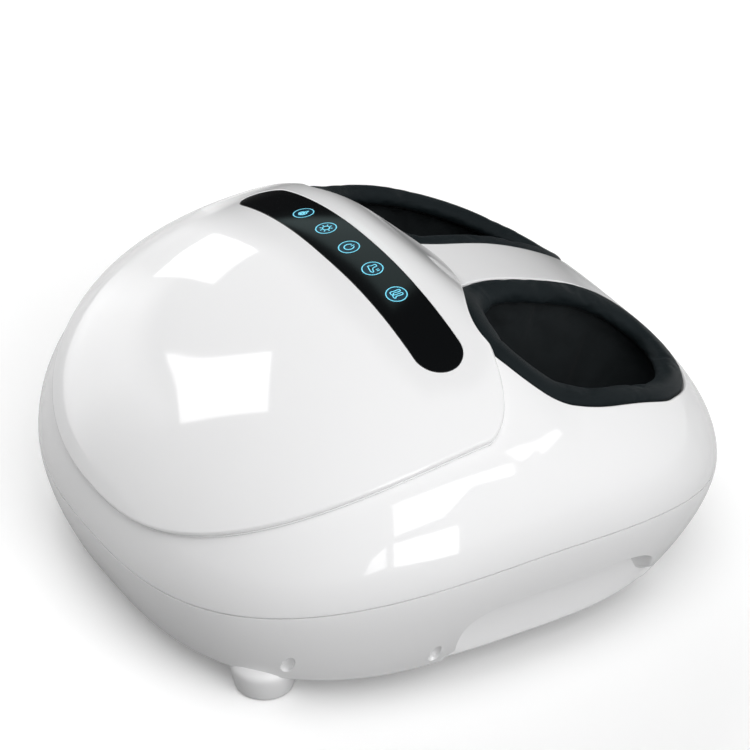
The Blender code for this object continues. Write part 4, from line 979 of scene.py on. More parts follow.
class MASSAGER_OT_upper_shell(bpy.types.Operator):
    """Build the upper shell with its two foot openings"""

    bl_idname = "massager.upper_shell"
    bl_label = "Upper shell"

    def execute(self, context):
        """Cut the openings into the crown and roll their edges."""
        sizes = context.scene.massager_sizes
        colours = context.scene.massager_finishes
        outer = even_points(seam_plan(np.linspace(0, 2 * np.pi, 3000, endpoint=False)), SEAM_PITCH)
        holes = [mouth_outline(side) for _, side in SIDES]
        holes.append(even_points(ellipse(*UNDER_HOLE, 160), UNDER_HOLE_PITCH))
        rims = (LOWER_RIM, sizes.mouth_edge, sizes.mouth_edge, UNDER_HOLE_RIM)
        white = plastic("shell plastic", colours.shell, roughness=0.07, spread=0.03, grain=260.0, peel=0.012,
                        coat=0.4)
        item = crown_piece("upper_shell", outer, holes, 0.0, sizes.wall, rims, sizes.mesh_pitch, white)
        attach(item, "housing")
        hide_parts("upper_housing")
        return {"FINISHED"}


class MASSAGER_OT_toe_cover(bpy.types.Operator):
    """Build the raised cover over the toes"""

    bl_idname = "massager.toe_cover"
    bl_label = "Toe cover"

    def execute(self, context):
        """Cut the cover from the crown with the window's slot in it."""
        sizes = context.scene.massager_sizes
        outer = even_points(cover_outline(), LOOP_PITCH)
        slot = slot_outline(WINDOW_HALF_LENGTH + SLOT_CLEARANCE, WINDOW_HALF_WIDTH + SLOT_CLEARANCE)
        item = crown_piece("toe_cover", outer, [even_points(slot, LOOP_PITCH)], sizes.cover_proud,
                           sizes.cover_proud - WINDOW_SINK, (sizes.cover_edge, SLOT_RIM), sizes.mesh_pitch,
                           bpy.data.materials["shell plastic"], sizes.cover_lip)
        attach(item, "housing")
        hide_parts("dome_cover")
        return {"FINISHED"}


def arc(radius, first, last, centre=(0.0, 0.0), steps=24):
    """Points along an arc, in degrees."""
    turn = np.radians(np.linspace(first, last, steps))
    return np.column_stack((centre[0] + radius * np.cos(turn), centre[1] + radius * np.sin(turn)))


def heat_sign():
    """A flame with a full core."""
    flame = closed_curve(((0.0, 3.6), (1.0, 1.8), (2.3, 0.4), (2.2, -1.6), (0.8, -2.9), (-0.9, -2.9),
                          (-2.2, -1.6), (-2.1, 0.2), (-0.9, 1.2)), 6)
    return (flame, 0.8, True), (flame * 0.45 - (0.0, 0.6), 1.2, True)


def knead_sign():
    """A massage head with eight rays."""
    lines = [(arc(2.2, 0, 360, steps=33)[:-1], 0.8, True)]
    for turn in np.radians(np.arange(0, 360, 45)):
        lines.append((np.outer((2.9, 3.5, 4.2), (math.cos(turn), math.sin(turn))), 0.8, False))
    return lines


def power_sign():
    """An open ring with a bar in its gap."""
    return (arc(3.0, 115, 425, steps=40), 0.8, False), (((0, 1.4), (0, 2.4), (0, 3.8)), 0.8, False)


def air_sign():
    """A foot with two puffs of air."""
    foot = closed_curve(((-3.4, -1.2), (-1.0, -1.9), (1.6, -2.4), (3.4, -2.0), (3.0, -1.0), (1.0, -0.4),
                         (-0.3, 0.8), (-0.6, 3.2), (-2.6, 3.4), (-2.6, 1.0)), 6)
    return [(foot, 0.7, True)] + [(arc(1.0, 60, -60, (shift, 2.0), 9), 0.6, False) for shift in (1.4, 2.8)]


def legs_sign():
    """A pair of lower legs."""
    leg = closed_curve(((-0.9, 3.4), (-0.9, 0.2), (-1.1, -2.6), (1.0, -3.0), (1.6, -2.2), (0.5, -1.2),
                        (0.7, 1.2), (0.6, 3.4)), 6)
    return [(leg + (shift, 0.0), 0.7, True) for shift in (-1.9, 1.3)]


SIGNS = (("heat", heat_sign), ("knead", knead_sign), ("power", power_sign), ("air", air_sign),
         ("legs", legs_sign))


class MASSAGER_OT_control_strip(bpy.types.Operator):
    """Build the black control window and its lit touch icons"""

    bl_idname = "massager.control_strip"
    bl_label = "Control strip"

    def execute(self, context):
        """Lay the window into the cover's slot and the icons on it."""
        sizes = context.scene.massager_sizes
        colours = context.scene.massager_finishes
        outer = even_points(slot_outline(WINDOW_HALF_LENGTH, WINDOW_HALF_WIDTH), LOOP_PITCH)
        gloss = {"roughness": 0.11, "spread": 0.02, "grain": 300.0, "peel": 0.006}
        black = plastic("window gloss", colours.window, **gloss)
        item = crown_piece("control_window_glass", outer, [], sizes.cover_proud - WINDOW_SINK, WINDOW_DEPTH,
                           (WINDOW_RIM,), WINDOW_PITCH, black)
        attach(item, "housing")
        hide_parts("control_window")
        glow = plastic("icon light", colours.icons, roughness=0.4, spread=0.02, peel=0.0)
        lit(glow, colours.icons, strength=0.35)
        shade = plastic("icon disc", (0.004, 0.012, 0.020), **gloss)
        lit(shade, (0.10, 0.50, 0.90), strength=0.03)
        for index, (name, sign) in enumerate(SIGNS):
            place = ((index - (len(SIGNS) - 1) / 2) * ICON_PITCH, ICON_Y)
            self.icon(name, sign(), place, sizes.cover_proud - WINDOW_SINK, glow, shade)
        return {"FINISHED"}

    def icon(self, name, sign, place, lift, glow, shade):
        """One dim disc with its ring and its sign, laid on the window."""
        points = list(arc(ICON_DISC, 0, 360, steps=ICON_DISC_STEPS + 1)[:-1])
        faces = [tuple(range(ICON_DISC_STEPS))]
        for line, width, closed in ((arc(ICON_RING, 0, 360, steps=65)[:-1], 0.7, True), *sign):
            line = np.asarray(line, dtype=float)
            along = directions(line) if closed else unit(np.gradient(line, axis=0))
            side = along[:, ::-1] * (1, -1) * width / 2
            start, count = len(points), len(line)
            points.extend(np.stack((line + side, line - side), axis=1).reshape(-1, 2))
            for step in range(count if closed else count - 1):
                a, b = start + 2 * step, start + 2 * ((step + 1) % count)
                faces.append((a, a + 1, b + 1, b))
        flat = unroll(np.array(points) * MILLIMETRE + place)
        rise = np.where(np.arange(len(flat)) < ICON_DISC_STEPS, ICON_DISC_RISE, ICON_LINE_RISE)[:, None]
        item = new_piece("icon_" + name, crown_face(flat) + crown_normal(flat) * (lift + rise), faces, glow)
        item.data.materials.append(shade)
        item.data.polygons[0].material_index = 1
        with edited(item) as shape:
            shape.normal_update()
            if sum(face.normal.z for face in shape.faces) < 0:
                bmesh.ops.reverse_faces(shape, faces=shape.faces[:])
        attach(item, "housing")


# Fabric


def swell(item, pressure, growth, pinned, cap):
    """Let cloth settle under a little air, then keep its shape within a cap."""
    scene = bpy.context.scene
    group = item.vertex_groups.new(name="held")
    for weight in np.unique(pinned[pinned > 0]):
        group.add([int(i) for i in np.flatnonzero(pinned == weight)], float(weight), "REPLACE")
    start = np.empty(len(item.data.vertices) * 3)
    item.data.vertices.foreach_get("co", start)
    step = item.modifiers.new("Swell", "CLOTH")
    for key, value in CLOTH.items():
        setattr(step.settings, key, value)
    step.settings.use_pressure = pressure > 0
    step.settings.uniform_pressure_force = pressure
    step.settings.shrink_min = -growth
    step.settings.vertex_group_mass = "held"
    step.settings.effector_weights.gravity = 0.0
    step.collision_settings.use_collision = False
    step.point_cache.frame_start = 1
    step.point_cache.frame_end = CLOTH_FRAMES
    for number in range(1, CLOTH_FRAMES + 1):
        scene.frame_set(number)
    done = item.evaluated_get(bpy.context.evaluated_depsgraph_get())
    end = np.empty(len(start))
    done.data.vertices.foreach_get("co", end)
    start, end = start.reshape(-1, 3), end.reshape(-1, 3)
    move = end - start
    far = np.linalg.norm(move, axis=1)
    move *= (cap * np.tanh(far / cap) / np.maximum(far, 1e-9))[:, None]
    item.modifiers.remove(step)
    item.vertex_groups.clear()
    item.data.vertices.foreach_set("co", (start + move).ravel())
    item.data.update()
    scene.frame_set(1)


def ring_mesh(name, rings, finish, round_rings=False):
    """A smooth surface over rings that each hold the same points, closed round each ring."""
    count, size = rings.shape[0], rings.shape[1]
    index = np.arange(count * size).reshape(count, size)
    if round_rings:
        index = np.vstack((index, index[:1]))
    near, far = index[:-1], index[1:]
    faces = np.stack((near, np.roll(near, -1, 1), np.roll(far, -1, 1), far), axis=2).reshape(-1, 4)
    mesh = new_mesh(name, rings.reshape(-1, 3), faces)
    mesh.materials.append(finish)
    mesh.shade_smooth()
    return linked(name, mesh)


def outward(item):
    """Point a closed piece's faces outwards."""
    with edited(item) as shape:
        bmesh.ops.recalc_face_normals(shape, faces=shape.faces[:])
        if shape.calc_volume(signed=True) < 0:
            bmesh.ops.reverse_faces(shape, faces=shape.faces[:])


class MASSAGER_OT_collars(bpy.types.Operator):
    """Build the padded collar round each foot opening"""

    bl_idname = "massager.collars"
    bl_label = "Collars"

    def execute(self, context):
        """Sew a closed roll of fabric under the shell's edge and let it swell."""
        colours = context.scene.massager_finishes
        cloth = fabric("collar fabric", colours.collar, scale=1500.0, roughness=0.50, sheen=0.01, gloss=0.07)
        turn = np.linspace(0, 2 * np.pi, COLLAR_STEPS, endpoint=False)
        rings = self.roll(turn)
        low = np.where(np.sin(turn) < -COLLAR_HELD_LOW, COLLAR_LOW_HOLD, 0.0)
        held = np.where(np.cos(turn) > COLLAR_HELD_OUT, 1.0, low)
        for label, side in SIDES:
            item = ring_mesh("collar_" + label, rings * (side, 1, 1), cloth, True)
            outward(item)
            swell(item, pressure=3.0, growth=0.02, pinned=np.tile(held, len(rings)), cap=COLLAR_SWELL)
            apply_step(item, "SUBSURF", levels=1, render_levels=1)
            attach(item, "housing")
            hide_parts("liner_collar_" + label)
        return {"FINISHED"}

    def roll(self, turn):
        """Rings of the roll round the opening's edge, with soft puckers on its inner side."""
        edge = even_points(mouth_outline(1), COLLAR_PITCH)
        count = len(edge)
        toeward = smooth_step((COLLAR_TOE_Y - edge[:, 1]) / COLLAR_TOE_RUN)
        half = COLLAR_HALF_WIDTH + COLLAR_TOE_WIDTH * toeward
        path = edge - rightwards(edge) * half[:, None]
        for _ in range(COLLAR_SMOOTHINGS):
            path = (np.roll(path, 1, 0) + 2 * path + np.roll(path, -1, 0)) / 4
        normal = crown_normal(unroll(path))
        centre = crown_face(unroll(path)) - normal * COLLAR_DROP
        rim = crown_face(unroll(edge)) - crown_normal(unroll(edge)) * COLLAR_DROP - centre
        reach = np.linalg.norm(rim, axis=1)
        shape = powered(np.cos(turn), COLLAR_ACROSS_POWER)[None, :]
        across = shape * np.where(shape > 0, reach[:, None] + COLLAR_TUCK, half[:, None])
        upward = (powered(np.sin(turn), COLLAR_UP_POWER) * COLLAR_HALF_HEIGHT)[None, :]
        upward = upward + np.minimum(across, 0.0) * COLLAR_INNER_SLOPE
        rings = (centre[:, None] + unit(rim)[:, None] * across[:, :, None]
                 + normal[:, None] * upward[:, :, None])
        spot = np.arange(count) / count * 2 * np.pi
        pinch = np.zeros(count)
        for share, depth, width in COLLAR_PUCKERS:
            gap = np.angle(np.exp(1j * (spot - share * 2 * np.pi)))
            pinch += depth * np.exp(-(gap / width) ** 2)
        inner = np.clip(-np.cos(turn), 0.0, 1.0) * np.clip(np.sin(turn) + COLLAR_PUCKER_LIFT, 0.0, 1.0)
        return rings - normal[:, None] * (pinch[:, None] * inner[None, :])[:, :, None]


class MASSAGER_OT_pockets(bpy.types.Operator):
    """Build the fabric pocket in each foot well"""

    bl_idname = "massager.pockets"
    bl_label = "Pockets"

    def execute(self, context):
        """Loft each pocket from toe to lip, raise it over the kneading heads and let it settle."""
        colours = context.scene.massager_finishes
        cloth = fabric("pocket fabric", colours.fabric, scale=1300.0, roughness=0.85, sheen=0.05, gloss=0.15)
        turn = np.arange(POCKET_STEPS) * 2 * np.pi / POCKET_STEPS
        rings = self.loft(self.toe_rings(turn), self.lip(turn))
        sole = smooth_step((SOLE_TOP_Z - rings[:, :, 2]) / SOLE_FADE)
        self.raise_nodes(rings, sole)
        held = np.zeros(rings.shape[:2])
        held[:3], held[-2:] = 1.0, 1.0
        held = np.maximum(held, np.where(sole > SOLE_HELD_SHARE, SOLE_HOLD, 0.0))
        for label, side in SIDES:
            item = ring_mesh("pocket_" + label, rings * (side, 1, 1), cloth)
            self.close_toe(item)
            swell(item, pressure=0.0, growth=0.10, pinned=held.ravel(), cap=POCKET_SETTLE)
            apply_step(item, "SOLIDIFY", thickness=POCKET_CLOTH, offset=-1.0)
            apply_step(item, "SUBSURF", levels=1, render_levels=1)
            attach(item, "housing")
            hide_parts("foot_liner_" + label)
        return {"FINISHED"}

    def toe_rings(self, turn):
        """Rings of the pocket from its toe end to below the lip."""
        across = powered(np.cos(turn), 2 / POCKET_POWER)
        upward = powered(np.sin(turn), 2 / POCKET_POWER)
        rings = []
        for top_along, top_rise, sole_along, sole_rise, width_share in POCKET_STATIONS:
            top = np.array([POCKET_TOE_Y + POCKET_LENGTH * top_along,
                            POCKET_TOE_TOP_Z + POCKET_RISE * top_rise])
            low = np.array([POCKET_TOE_Y + POCKET_LENGTH * sole_along,
                            POCKET_SOLE_Z + POCKET_RISE * sole_rise])
            width = POCKET_TOE_HALF_WIDTH + (POCKET_HALF_WIDTH - POCKET_TOE_HALF_WIDTH) * width_share
            place = (top + low) / 2 + upward[:, None] * (top - low) / 2
            rings.append(np.column_stack((KNEAD_X + width * across, place)))
        return rings

    def lip(self, turn):
        """The pocket's edge under the collar, with a point for each turn."""
        mouth = mouth_outline(1, -COLLAR_INSET)
        heading = np.arctan2(*((mouth - POCKET_LIP_MIDDLE) / POCKET_LIP_HALF).T[::-1])
        order = np.argsort(heading)
        wanted = np.angle(np.exp(-1j * turn))
        lip = np.column_stack([np.interp(wanted, heading[order], mouth[order, axis], period=2 * np.pi)
                               for axis in (0, 1)])
        return np.column_stack((lip, crown_face(unroll(lip))[:, 2] - POCKET_LIP_DROP))

    def loft(self, rings, lip):
        """Close rings from the toe end to the lip, sagging behind the heel."""
        last = rings[-1]
        behind = lip[:, 1] > POCKET_LIP_MIDDLE[1]
        for share in (0.2, 0.4, 0.6, 0.8):
            sag = np.where(behind, POCKET_SAG_SHARE * share * (1 - share), 0.0)
            sag = sag * np.linalg.norm(lip - last, axis=1)
            rings.append(last + (lip - last) * share - sag[:, None] * (0, 0, 1))
        rings = np.array(rings + [lip])
        fine = []
        for index in range(len(rings) - 1):
            before, start = rings[max(index - 1, 0)], rings[index]
            end, after = rings[index + 1], rings[min(index + 2, len(rings) - 1)]
            steps = max(2, int(np.linalg.norm(end - start, axis=1).max() / POCKET_PITCH))
            fine += [spline(before, start, end, after, share) for share in np.arange(steps) / steps]
        return np.array(fine + [rings[-1]])

    def raise_nodes(self, rings, sole):
        """Lift the sole over the kneading heads' nodes."""
        for y in KNEAD_SPOTS:
            for turn in 2 * np.pi * np.arange(NODE_COUNT) / NODE_COUNT:
                x_spot, y_spot = KNEAD_X + NODE_RING * math.cos(turn), y + NODE_RING * math.sin(turn)
                gap = np.hypot(rings[:, :, 0] - x_spot, rings[:, :, 1] - y_spot)
                rings[:, :, 2] += NODE_HEIGHT * np.exp(-(gap / NODE_SPREAD) ** 2) * sole

    def close_toe(self, item):
        """Close the toe end and point the faces out of the pocket, so that its sole faces down."""
        with edited(item) as shape:
            shape.verts.ensure_lookup_table()
            shape.faces.new(shape.verts[:POCKET_STEPS])
            bmesh.ops.recalc_face_normals(shape, faces=shape.faces[:])
            middle = min(shape.faces, key=lambda face: abs(face.calc_center_median().z - POCKET_SOLE_Z)
                         + abs(face.calc_center_median().y))
            if middle.normal.z > 0:
                bmesh.ops.reverse_faces(shape, faces=shape.faces[:])


# Turned parts


def turned_piece(name, profile, place, finish, steps=72):
    """Spin a profile, given as radius and height, round a vertical line."""
    mesh = bpy.data.meshes.new(name)
    points = [(place[0] + radius, place[1], height) for radius, height in profile]
    mesh.from_pydata(points, [(index, index + 1) for index in range(len(points) - 1)], [])
    item = linked(name, mesh)
    pick(item)
    bpy.ops.object.mode_set(mode="EDIT")
    bpy.ops.mesh.select_all(action="SELECT")
    bpy.ops.mesh.spin(steps=steps, angle=2 * math.pi, center=(place[0], place[1], 0.0), axis=(0, 0, 1),
                      use_auto_merge=False)
    bpy.ops.mesh.select_all(action="SELECT")
    bpy.ops.mesh.remove_doubles(threshold=1e-6)
    bpy.ops.mesh.normals_make_consistent(inside=False)
    bpy.ops.object.mode_set(mode="OBJECT")
    mesh.materials.append(finish)
    mesh.shade_smooth()
    mesh.set_sharp_from_angle(angle=SHARP_ANGLE)
    return item


def copied(item, name, move):
    """A copy of a piece with its own mesh, moved in its mesh."""
    twin = item.copy()
    twin.data = item.data.copy()
    twin.name = twin.data.name = name
    twin.data.transform(Matrix.Translation(move))
    bpy.context.scene.collection.objects.link(twin)
    return twin


def fillet(corner, before, after, radius, steps=5):
    """Profile points that round a corner between two others."""
    corner, before, after = (np.array(value, dtype=float) for value in (corner, before, after))
    first = corner + (before - corner) / np.linalg.norm(before - corner) * radius
    last = corner + (after - corner) / np.linalg.norm(after - corner) * radius
    t = np.linspace(0, 1, steps)[:, None]
    return [tuple(point) for point in (1 - t) ** 2 * first + 2 * t * (1 - t) * corner + t ** 2 * last]


class MASSAGER_OT_feet(bpy.types.Operator):
    """Build the four feet with their pads and the eight screws"""

    bl_idname = "massager.feet"
    bl_label = "Feet and screws"

    def execute(self, context):
        """Spin one foot, one pad and one screw, and copy them."""
        colours = context.scene.massager_finishes
        grey = plastic("foot plastic", [value * FOOT_TONE_SHARE for value in colours.tray], roughness=0.28,
                       spread=0.05, grain=500.0, peel=0.02)
        rubber = plastic("pad rubber", (0.03, 0.03, 0.032), roughness=0.8, spread=0.08, grain=900.0,
                         peel=0.15)
        zinc = plastic("zinc steel", (0.60, 0.60, 0.62), roughness=0.28, spread=0.08, grain=700.0,
                       peel=0.03, metallic=1.0)
        x, y = FOOT_SPOTS[1]
        foot = turned_piece("foot_boss_front_right", self.foot_profile(), (x, y), grey)
        pad = turned_piece("grip_pad_front_right", self.pad_profile(), (x, y), rubber)
        screw = self.screw(zinc)
        for name, (spot_x, spot_y) in zip(FOOT_NAMES, FOOT_SPOTS):
            move = (spot_x - x, spot_y - y, 0.0)
            for source, label, node, slot in ((foot, "foot_boss_", "foot_", "shell_plastic"),
                                              (pad, "grip_pad_", "rubber_pad_", "pad_rubber")):
                item = source if name == "front_right" else copied(source, label + name, move)
                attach(item, "housing")
                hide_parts(node + name)
            self.seat_screw(screw, "foot_bolt_" + name, "foot_screw_" + name,
                            (spot_x, spot_y, FOOT_SCREW_SEAT))
        for name, spot in zip(SCREW_NAMES, SCREW_SPOTS):
            self.seat_screw(screw, "case_bolt_" + name, "housing_screw_" + name, (*spot, CASE_SCREW_SEAT))
        bpy.data.objects.remove(screw)
        return {"FINISHED"}

    def seat_screw(self, screw, name, node, seat):
        """A copy of the screw on its seat."""
        item = copied(screw, name, seat)
        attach(item, "housing")
        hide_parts(node)

    def foot_profile(self):
        """Half a foot's section, with its screw bore, its rounded rim and the hollow for its pad."""
        profile = [(FOOT_BORE, FOOT_BORE_TOP), *FOOT_SHOULDER, *FOOT_FLANK]
        profile += fillet(FOOT_TOE, FOOT_FLANK[-1], FOOT_RIM, FOOT_TOE_ROUND)
        profile += fillet(FOOT_RIM, FOOT_TOE, (FOOT_RIM[0], 0.0018), FOOT_RIM_ROUND, 3)
        return profile + list(FOOT_HOLLOW)

    def pad_profile(self):
        """Half a pad's section, rounded where it meets the floor."""
        inner, outer, low = (PAD_INNER, PAD_TOP), (PAD_RADIUS, 0.0), (PAD_INNER, 0.0)
        rim = (PAD_RADIUS - 0.0003, PAD_TOP)
        return [inner, rim, *fillet(outer, (PAD_RADIUS, PAD_TOP), low, PAD_ROUND),
                *fillet(low, (rim[0], 0.0), inner, PAD_ROUND), inner]

    def screw(self, zinc):
        """A pan-head screw pointing up with its head's seat at height 0 and a cross in its head."""
        item = turned_piece("screw", SCREW_PROFILE, (0.0, 0.0), zinc, 32)
        for size in SCREW_CROSS:
            deselect()
            bpy.ops.mesh.primitive_cube_add(size=1.0, location=(0, 0, SCREW_CROSS_Z), scale=size)
            blade = bpy.context.object
            apply_step(item, "BOOLEAN", operation="DIFFERENCE", object=blade, solver="EXACT")
            bpy.data.objects.remove(blade)
        item.data.set_sharp_from_angle(angle=SHARP_ANGLE)
        return item


class MASSAGER_OT_inside(bpy.types.Operator):
    """Finish the working parts inside and build the air bags"""

    bl_idname = "massager.inside"
    bl_label = "Inside"

    def execute(self, context):
        """Give each hidden part its finish and blow up the four bags."""
        finishes = {key: plastic(*values) for key, values in HIDDEN_FINISHES.items()}
        finishes["zinc"] = bpy.data.materials["zinc steel"]
        for name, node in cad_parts.items():
            for start, key in HIDDEN_PARTS:
                if name.startswith(start):
                    node.data.materials.clear()
                    node.data.materials.append(finishes[key])
        film = plastic("air bag film", (0.30, 0.31, 0.33), roughness=0.42, spread=0.1, grain=300.0, peel=0.1)
        for label, _ in SIDES:
            for kind in ("side_airbag_", "instep_airbag_"):
                low, high = (np.array(corner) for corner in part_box(kind + label))
                self.bag(kind + label, (low + high) / 2, (high - low) / 2, film)
        return {"FINISHED"}

    def bag(self, name, centre, half, film):
        """A flat bag, blown up between its welded edges."""
        deselect()
        bpy.ops.mesh.primitive_uv_sphere_add(segments=40, ring_count=20, radius=1.0, location=(0, 0, 0))
        item = bpy.context.object
        item.name = item.data.name = name + "_film"
        places = np.array([vert.co for vert in item.data.vertices])
        reach = np.linalg.norm(places[:, :2], axis=1)
        turn = np.arctan2(places[:, 1], places[:, 0])
        crimp = 1 + BAG_CRIMP_SHARE * np.cos(turn * BAG_CRIMPS) * np.clip(reach, 0, 1) ** 6
        thin = int(np.argmin(half))
        first, second = (axis for axis in range(3) if axis != thin)
        shaped = np.empty_like(places)
        shaped[:, first] = places[:, 0] * half[first] * BAG_FLAT_SHARE
        shaped[:, second] = places[:, 1] * half[second] * BAG_FLAT_SHARE
        shaped[:, thin] = places[:, 2] * half[thin] * BAG_THICK_SHARE * crimp
        item.data.vertices.foreach_set("co", (shaped + centre).ravel())
        item.data.update()
        outward(item)
        item.data.materials.append(film)
        item.data.shade_smooth()
        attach(item, "housing")
        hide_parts(name)


# Studio: each lamp's name, direction and strength, and each pane's name, strength, rim strength, fade,
# corners and tint
SUNS = (("key", (0.460, -0.090, 0.883), 0.62), ("side", (0.970, 0.051, 0.242), 0.54),
        ("rim", (-0.970, 0.0, 0.242), 0.76), ("toe", (-0.686, -0.686, 0.242), 0.12),
        ("heel", (-0.235, 0.407, 0.883), 0.04))
SUN_ANGLE = math.radians(70)
SKY_STRENGTH = 0.02
FLOOR_RADIUS = 6.0
PAPER_TONE = 0.95
PAPER_SHADE = 0.30
PAPER_GLOW = 0.12
PANES = (
    ("upper_window", 3.4, 0.0, 0.03, ((-2.835, -0.300, 1.046), (-2.855, 0.441, 0.950), (-2.468, 0.260, 1.786),
                                      (-2.450, -0.394, 1.871))),
    ("middle_window", 4.6, 0.0, 0.02, ((-2.212, -1.288, 1.630), (-1.759, -0.722, 2.427),
                                       (-1.183, -1.399, 2.556), (-1.921, -1.851, 1.556))),
    ("left_window", 2.0, 1.0, 0.9, ((-2.95, -0.35, 0.25), (-2.95, -0.70, 1.25), (-2.45, -1.65, 1.30),
                                    (-2.50, -1.70, 0.20))),
    ("low_pane", 4.6, 0.0, 0.02, ((2.741, -0.835, 1.301), (2.831, 0.309, 1.198), (3.091, 0.359, 0.031),
                                  (2.957, -0.775, 0.339))),
    ("high_pane", 3.8, 0.0, 0.03, ((2.036, -0.721, 2.390), (1.978, 0.310, 2.272), (1.951, 1.182, 2.147),
                                   (2.186, 1.166, 1.880), (2.154, 0.598, 2.019), (2.420, 0.298, 1.767),
                                   (2.606, 0.102, 1.590), (2.734, -0.831, 1.610))),
    ("end_pane", 3.8, 0.0, 0.03, ((2.643, -0.958, 1.222), (2.625, -1.214, 0.853), (2.728, -1.285, 0.272),
                                  (2.851, -0.906, 0.377))),
    ("light_streak", 3.4, 0.0, 0.05, ((1.675, 1.135, 2.337), (0.961, 2.060, 2.018), (1.050, 2.097, 1.930),
                                      (1.921, 1.248, 2.087))),
    ("grey_board", 0.52, 0.02, 0.22, ((-2.720, 0.850, 1.250), (-2.380, 1.220, 1.420), (-1.610, 1.290, 2.370),
                                      (-1.490, 0.900, 2.790), (-2.204, 0.763, 1.929)), (0.76, 1.0, 1.0)),
    ("black_mat", 0.02, 1.0, 0.2, ((-0.85, 0.36, 0.004), (-0.36, 0.44, 0.004), (-1.90, 2.60, 0.004),
                                   (-3.20, 2.30, 0.004), (-3.70, 1.25, 0.004))),
    ("black_board", 0.01, 1.0, 0.3, ((-3.75, 1.30, -0.02), (-2.60, 2.90, -0.02), (-1.80, 2.70, 1.10),
                                     (-1.00, 2.20, 2.80), (0.20, 1.90, 4.60), (0.00, 1.05, 5.00),
                                     (-0.95, 0.68, 4.10), (-2.00, 0.45, 2.95), (-2.85, 0.64, 1.65),
                                     (-3.28, 0.92, 0.80))),
)


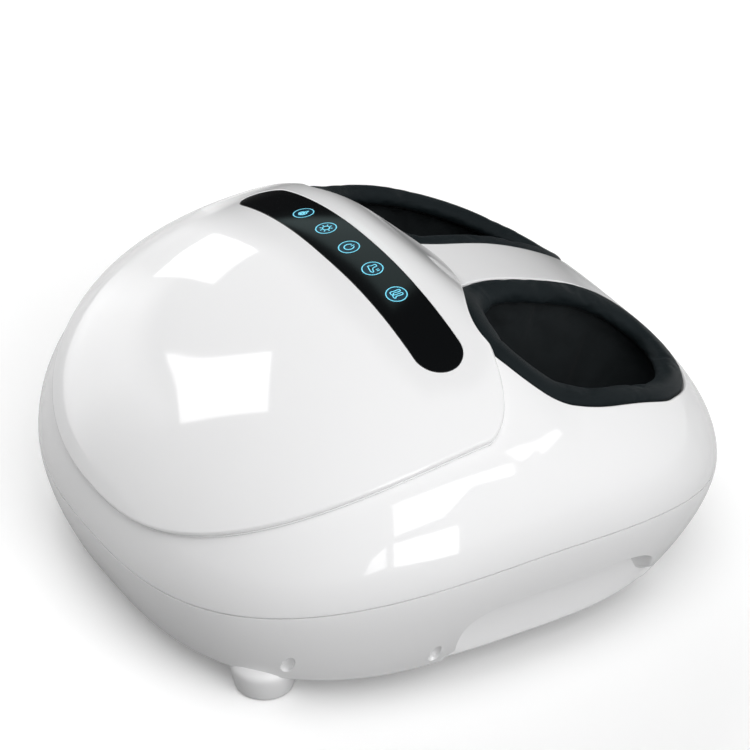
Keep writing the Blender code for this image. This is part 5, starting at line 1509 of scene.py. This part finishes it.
class MASSAGER_OT_stage(bpy.types.Operator):
    """Set up the pale studio, its lamps and the camera"""

    bl_idname = "massager.stage"
    bl_label = "Stage"

    def execute(self, context):
        """Floor, wide soft lamps, bright panes for the shells to mirror and the photograph's viewpoint."""
        scene = context.scene
        deselect()
        bpy.ops.mesh.primitive_circle_add(vertices=96, radius=FLOOR_RADIUS, fill_type="NGON",
                                          location=(0, 0, 0))
        floor = context.object
        floor.name = floor.data.name = "studio_floor"
        floor.data.materials.append(self.paper())
        self.sky(scene)
        for name, towards, strength in SUNS:
            data = bpy.data.lights.new(name, "SUN")
            data.angle = SUN_ANGLE
            data.energy = math.pi * strength
            lamp = linked(name, data)
            lamp.rotation_euler = (-Vector(towards)).to_track_quat("-Z", "Y").to_euler()
            lamp.visible_glossy = False
        for pane in PANES:
            self.pane(*pane)
        eye_data = bpy.data.cameras.new("viewpoint")
        eye_data.lens = EYE_LENS
        eye_data.sensor_width = EYE_SENSOR
        eye = linked("viewpoint", eye_data)
        turn = Matrix((EYE_RIGHT, EYE_UP, EYE_BACK)).transposed().normalized().to_4x4()
        eye.matrix_world = Matrix.Translation(EYE) @ turn
        scene.camera = eye
        scene.view_settings.view_transform = "Standard"
        return {"FINISHED"}

    def bare(self, name):
        """A material with only its output, and its node tree."""
        finish = bpy.data.materials.new(name)
        finish.use_nodes = True
        finish.node_tree.nodes.remove(finish.node_tree.nodes["Principled BSDF"])
        return finish, finish.node_tree

    def paper(self):
        """White paper that sends little light back up under the massager."""
        finish, tree = self.bare("studio paper")
        path = add_node(tree, "LightPath").outputs
        glossy = maths(tree, "MULTIPLY", path["Is Glossy Ray"], 0.5)
        dimmed = maths(tree, "MAXIMUM", path["Is Diffuse Ray"], glossy)
        tone = add_node(tree, "Mix", {"A": (PAPER_TONE,) * 3 + (1.0,), "B": (PAPER_SHADE,) * 3 + (1.0,),
                                      "Factor": dimmed}, data_type="RGBA")
        matt = add_node(tree, "BsdfDiffuse", {"Color": tone.outputs["Result"]})
        shine = maths(tree, "MULTIPLY_ADD", dimmed, -PAPER_GLOW, PAPER_GLOW)
        glow = add_node(tree, "Emission", {"Strength": shine})
        both = add_node(tree, "AddShader", {0: matt.outputs[0], 1: glow.outputs[0]})
        set_sockets(tree, tree.nodes["Material Output"], {"Surface": both.outputs[0]})
        return finish

    def sky(self, scene):
        """White to the eye and to mirrors, with only a little light of its own."""
        world = bpy.data.worlds.new("studio") if scene.world is None else scene.world
        scene.world = world
        world.use_nodes = True
        tree = world.node_tree
        white = (1.0, 1.0, 1.0, 1.0)
        seen = tree.nodes["Background"]
        set_sockets(tree, seen, {"Color": white, "Strength": 1.0})
        soft = add_node(tree, "Background", {"Color": white, "Strength": SKY_STRENGTH})
        path = add_node(tree, "LightPath").outputs
        shown = maths(tree, "MAXIMUM", path["Is Camera Ray"], path["Is Glossy Ray"])
        shown = maths(tree, "MAXIMUM", shown, path["Is Transmission Ray"])
        mixed = add_node(tree, "MixShader", {0: shown, 1: soft.outputs[0], 2: seen.outputs[0]})
        set_sockets(tree, tree.nodes["World Output"], {"Surface": mixed.outputs[0]})

    def pane(self, name, strength, rim, fade, corners, tint=(1.0, 1.0, 1.0)):
        """A flat board that only shows as a reflection and fades to its rim's strength."""
        inner = np.array(corners)
        outer = inner + (inner - inner.mean(axis=0)) * fade
        count = len(inner)
        faces = [tuple(range(count))]
        for index in range(count):
            after = (index + 1) % count
            faces.append((index, after, count + after, count + index))
        mesh = new_mesh(name, np.vstack((inner, outer)), faces)
        glow = mesh.attributes.new("glow", "FLOAT", "POINT")
        for index in range(2 * count):
            glow.data[index].value = strength if index < count else rim
        finish, tree = self.bare(name.replace("_", " "))
        level = add_node(tree, "Attribute", attribute_name="glow")
        light = add_node(tree, "Emission", {"Color": (*tint, 1.0), "Strength": level.outputs["Fac"]})
        set_sockets(tree, tree.nodes["Material Output"], {"Surface": light.outputs[0]})
        mesh.materials.append(finish)
        board = linked(name, mesh)
        board.visible_camera = board.visible_diffuse = board.visible_shadow = False


class MASSAGER_PT_panel(bpy.types.Panel):
    """Massager pieces and settings"""

    bl_label = "Foot massager"
    bl_idname = "MASSAGER_PT_panel"
    bl_space_type = "VIEW_3D"
    bl_region_type = "UI"
    bl_category = "Massager"

    def draw(self, context):
        """List the settings and the operators."""
        for settings in (context.scene.massager_sizes, context.scene.massager_finishes):
            for key in settings.__annotations__:
                self.layout.prop(settings, key)
        for operator in OPERATORS:
            self.layout.operator(operator.bl_idname)


OPERATORS = (MASSAGER_OT_tray, MASSAGER_OT_upper_shell, MASSAGER_OT_toe_cover, MASSAGER_OT_control_strip,
             MASSAGER_OT_collars, MASSAGER_OT_pockets, MASSAGER_OT_feet, MASSAGER_OT_inside,
             MASSAGER_OT_stage)
CLASSES = (MassagerSizes, MassagerFinishes) + OPERATORS + (MASSAGER_PT_panel,)


def register():
    """Add the classes and the settings to Blender."""
    for item in CLASSES:
        bpy.utils.register_class(item)
    bpy.types.Scene.massager_sizes = bpy.props.PointerProperty(type=MassagerSizes)
    bpy.types.Scene.massager_finishes = bpy.props.PointerProperty(type=MassagerFinishes)


def unregister():
    """Take the settings and the classes away again."""
    del bpy.types.Scene.massager_finishes
    del bpy.types.Scene.massager_sizes
    for item in reversed(CLASSES):
        bpy.utils.unregister_class(item)


def main():
    """Build every piece and the stage."""
    register()
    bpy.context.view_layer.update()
    bpy.ops.massager.tray()
    bpy.ops.massager.upper_shell()
    bpy.ops.massager.toe_cover()
    bpy.ops.massager.control_strip()
    bpy.ops.massager.collars()
    bpy.ops.massager.pockets()
    bpy.ops.massager.feet()
    bpy.ops.massager.inside()
    bpy.ops.massager.stage()


if __name__ == "__main__":
    main()
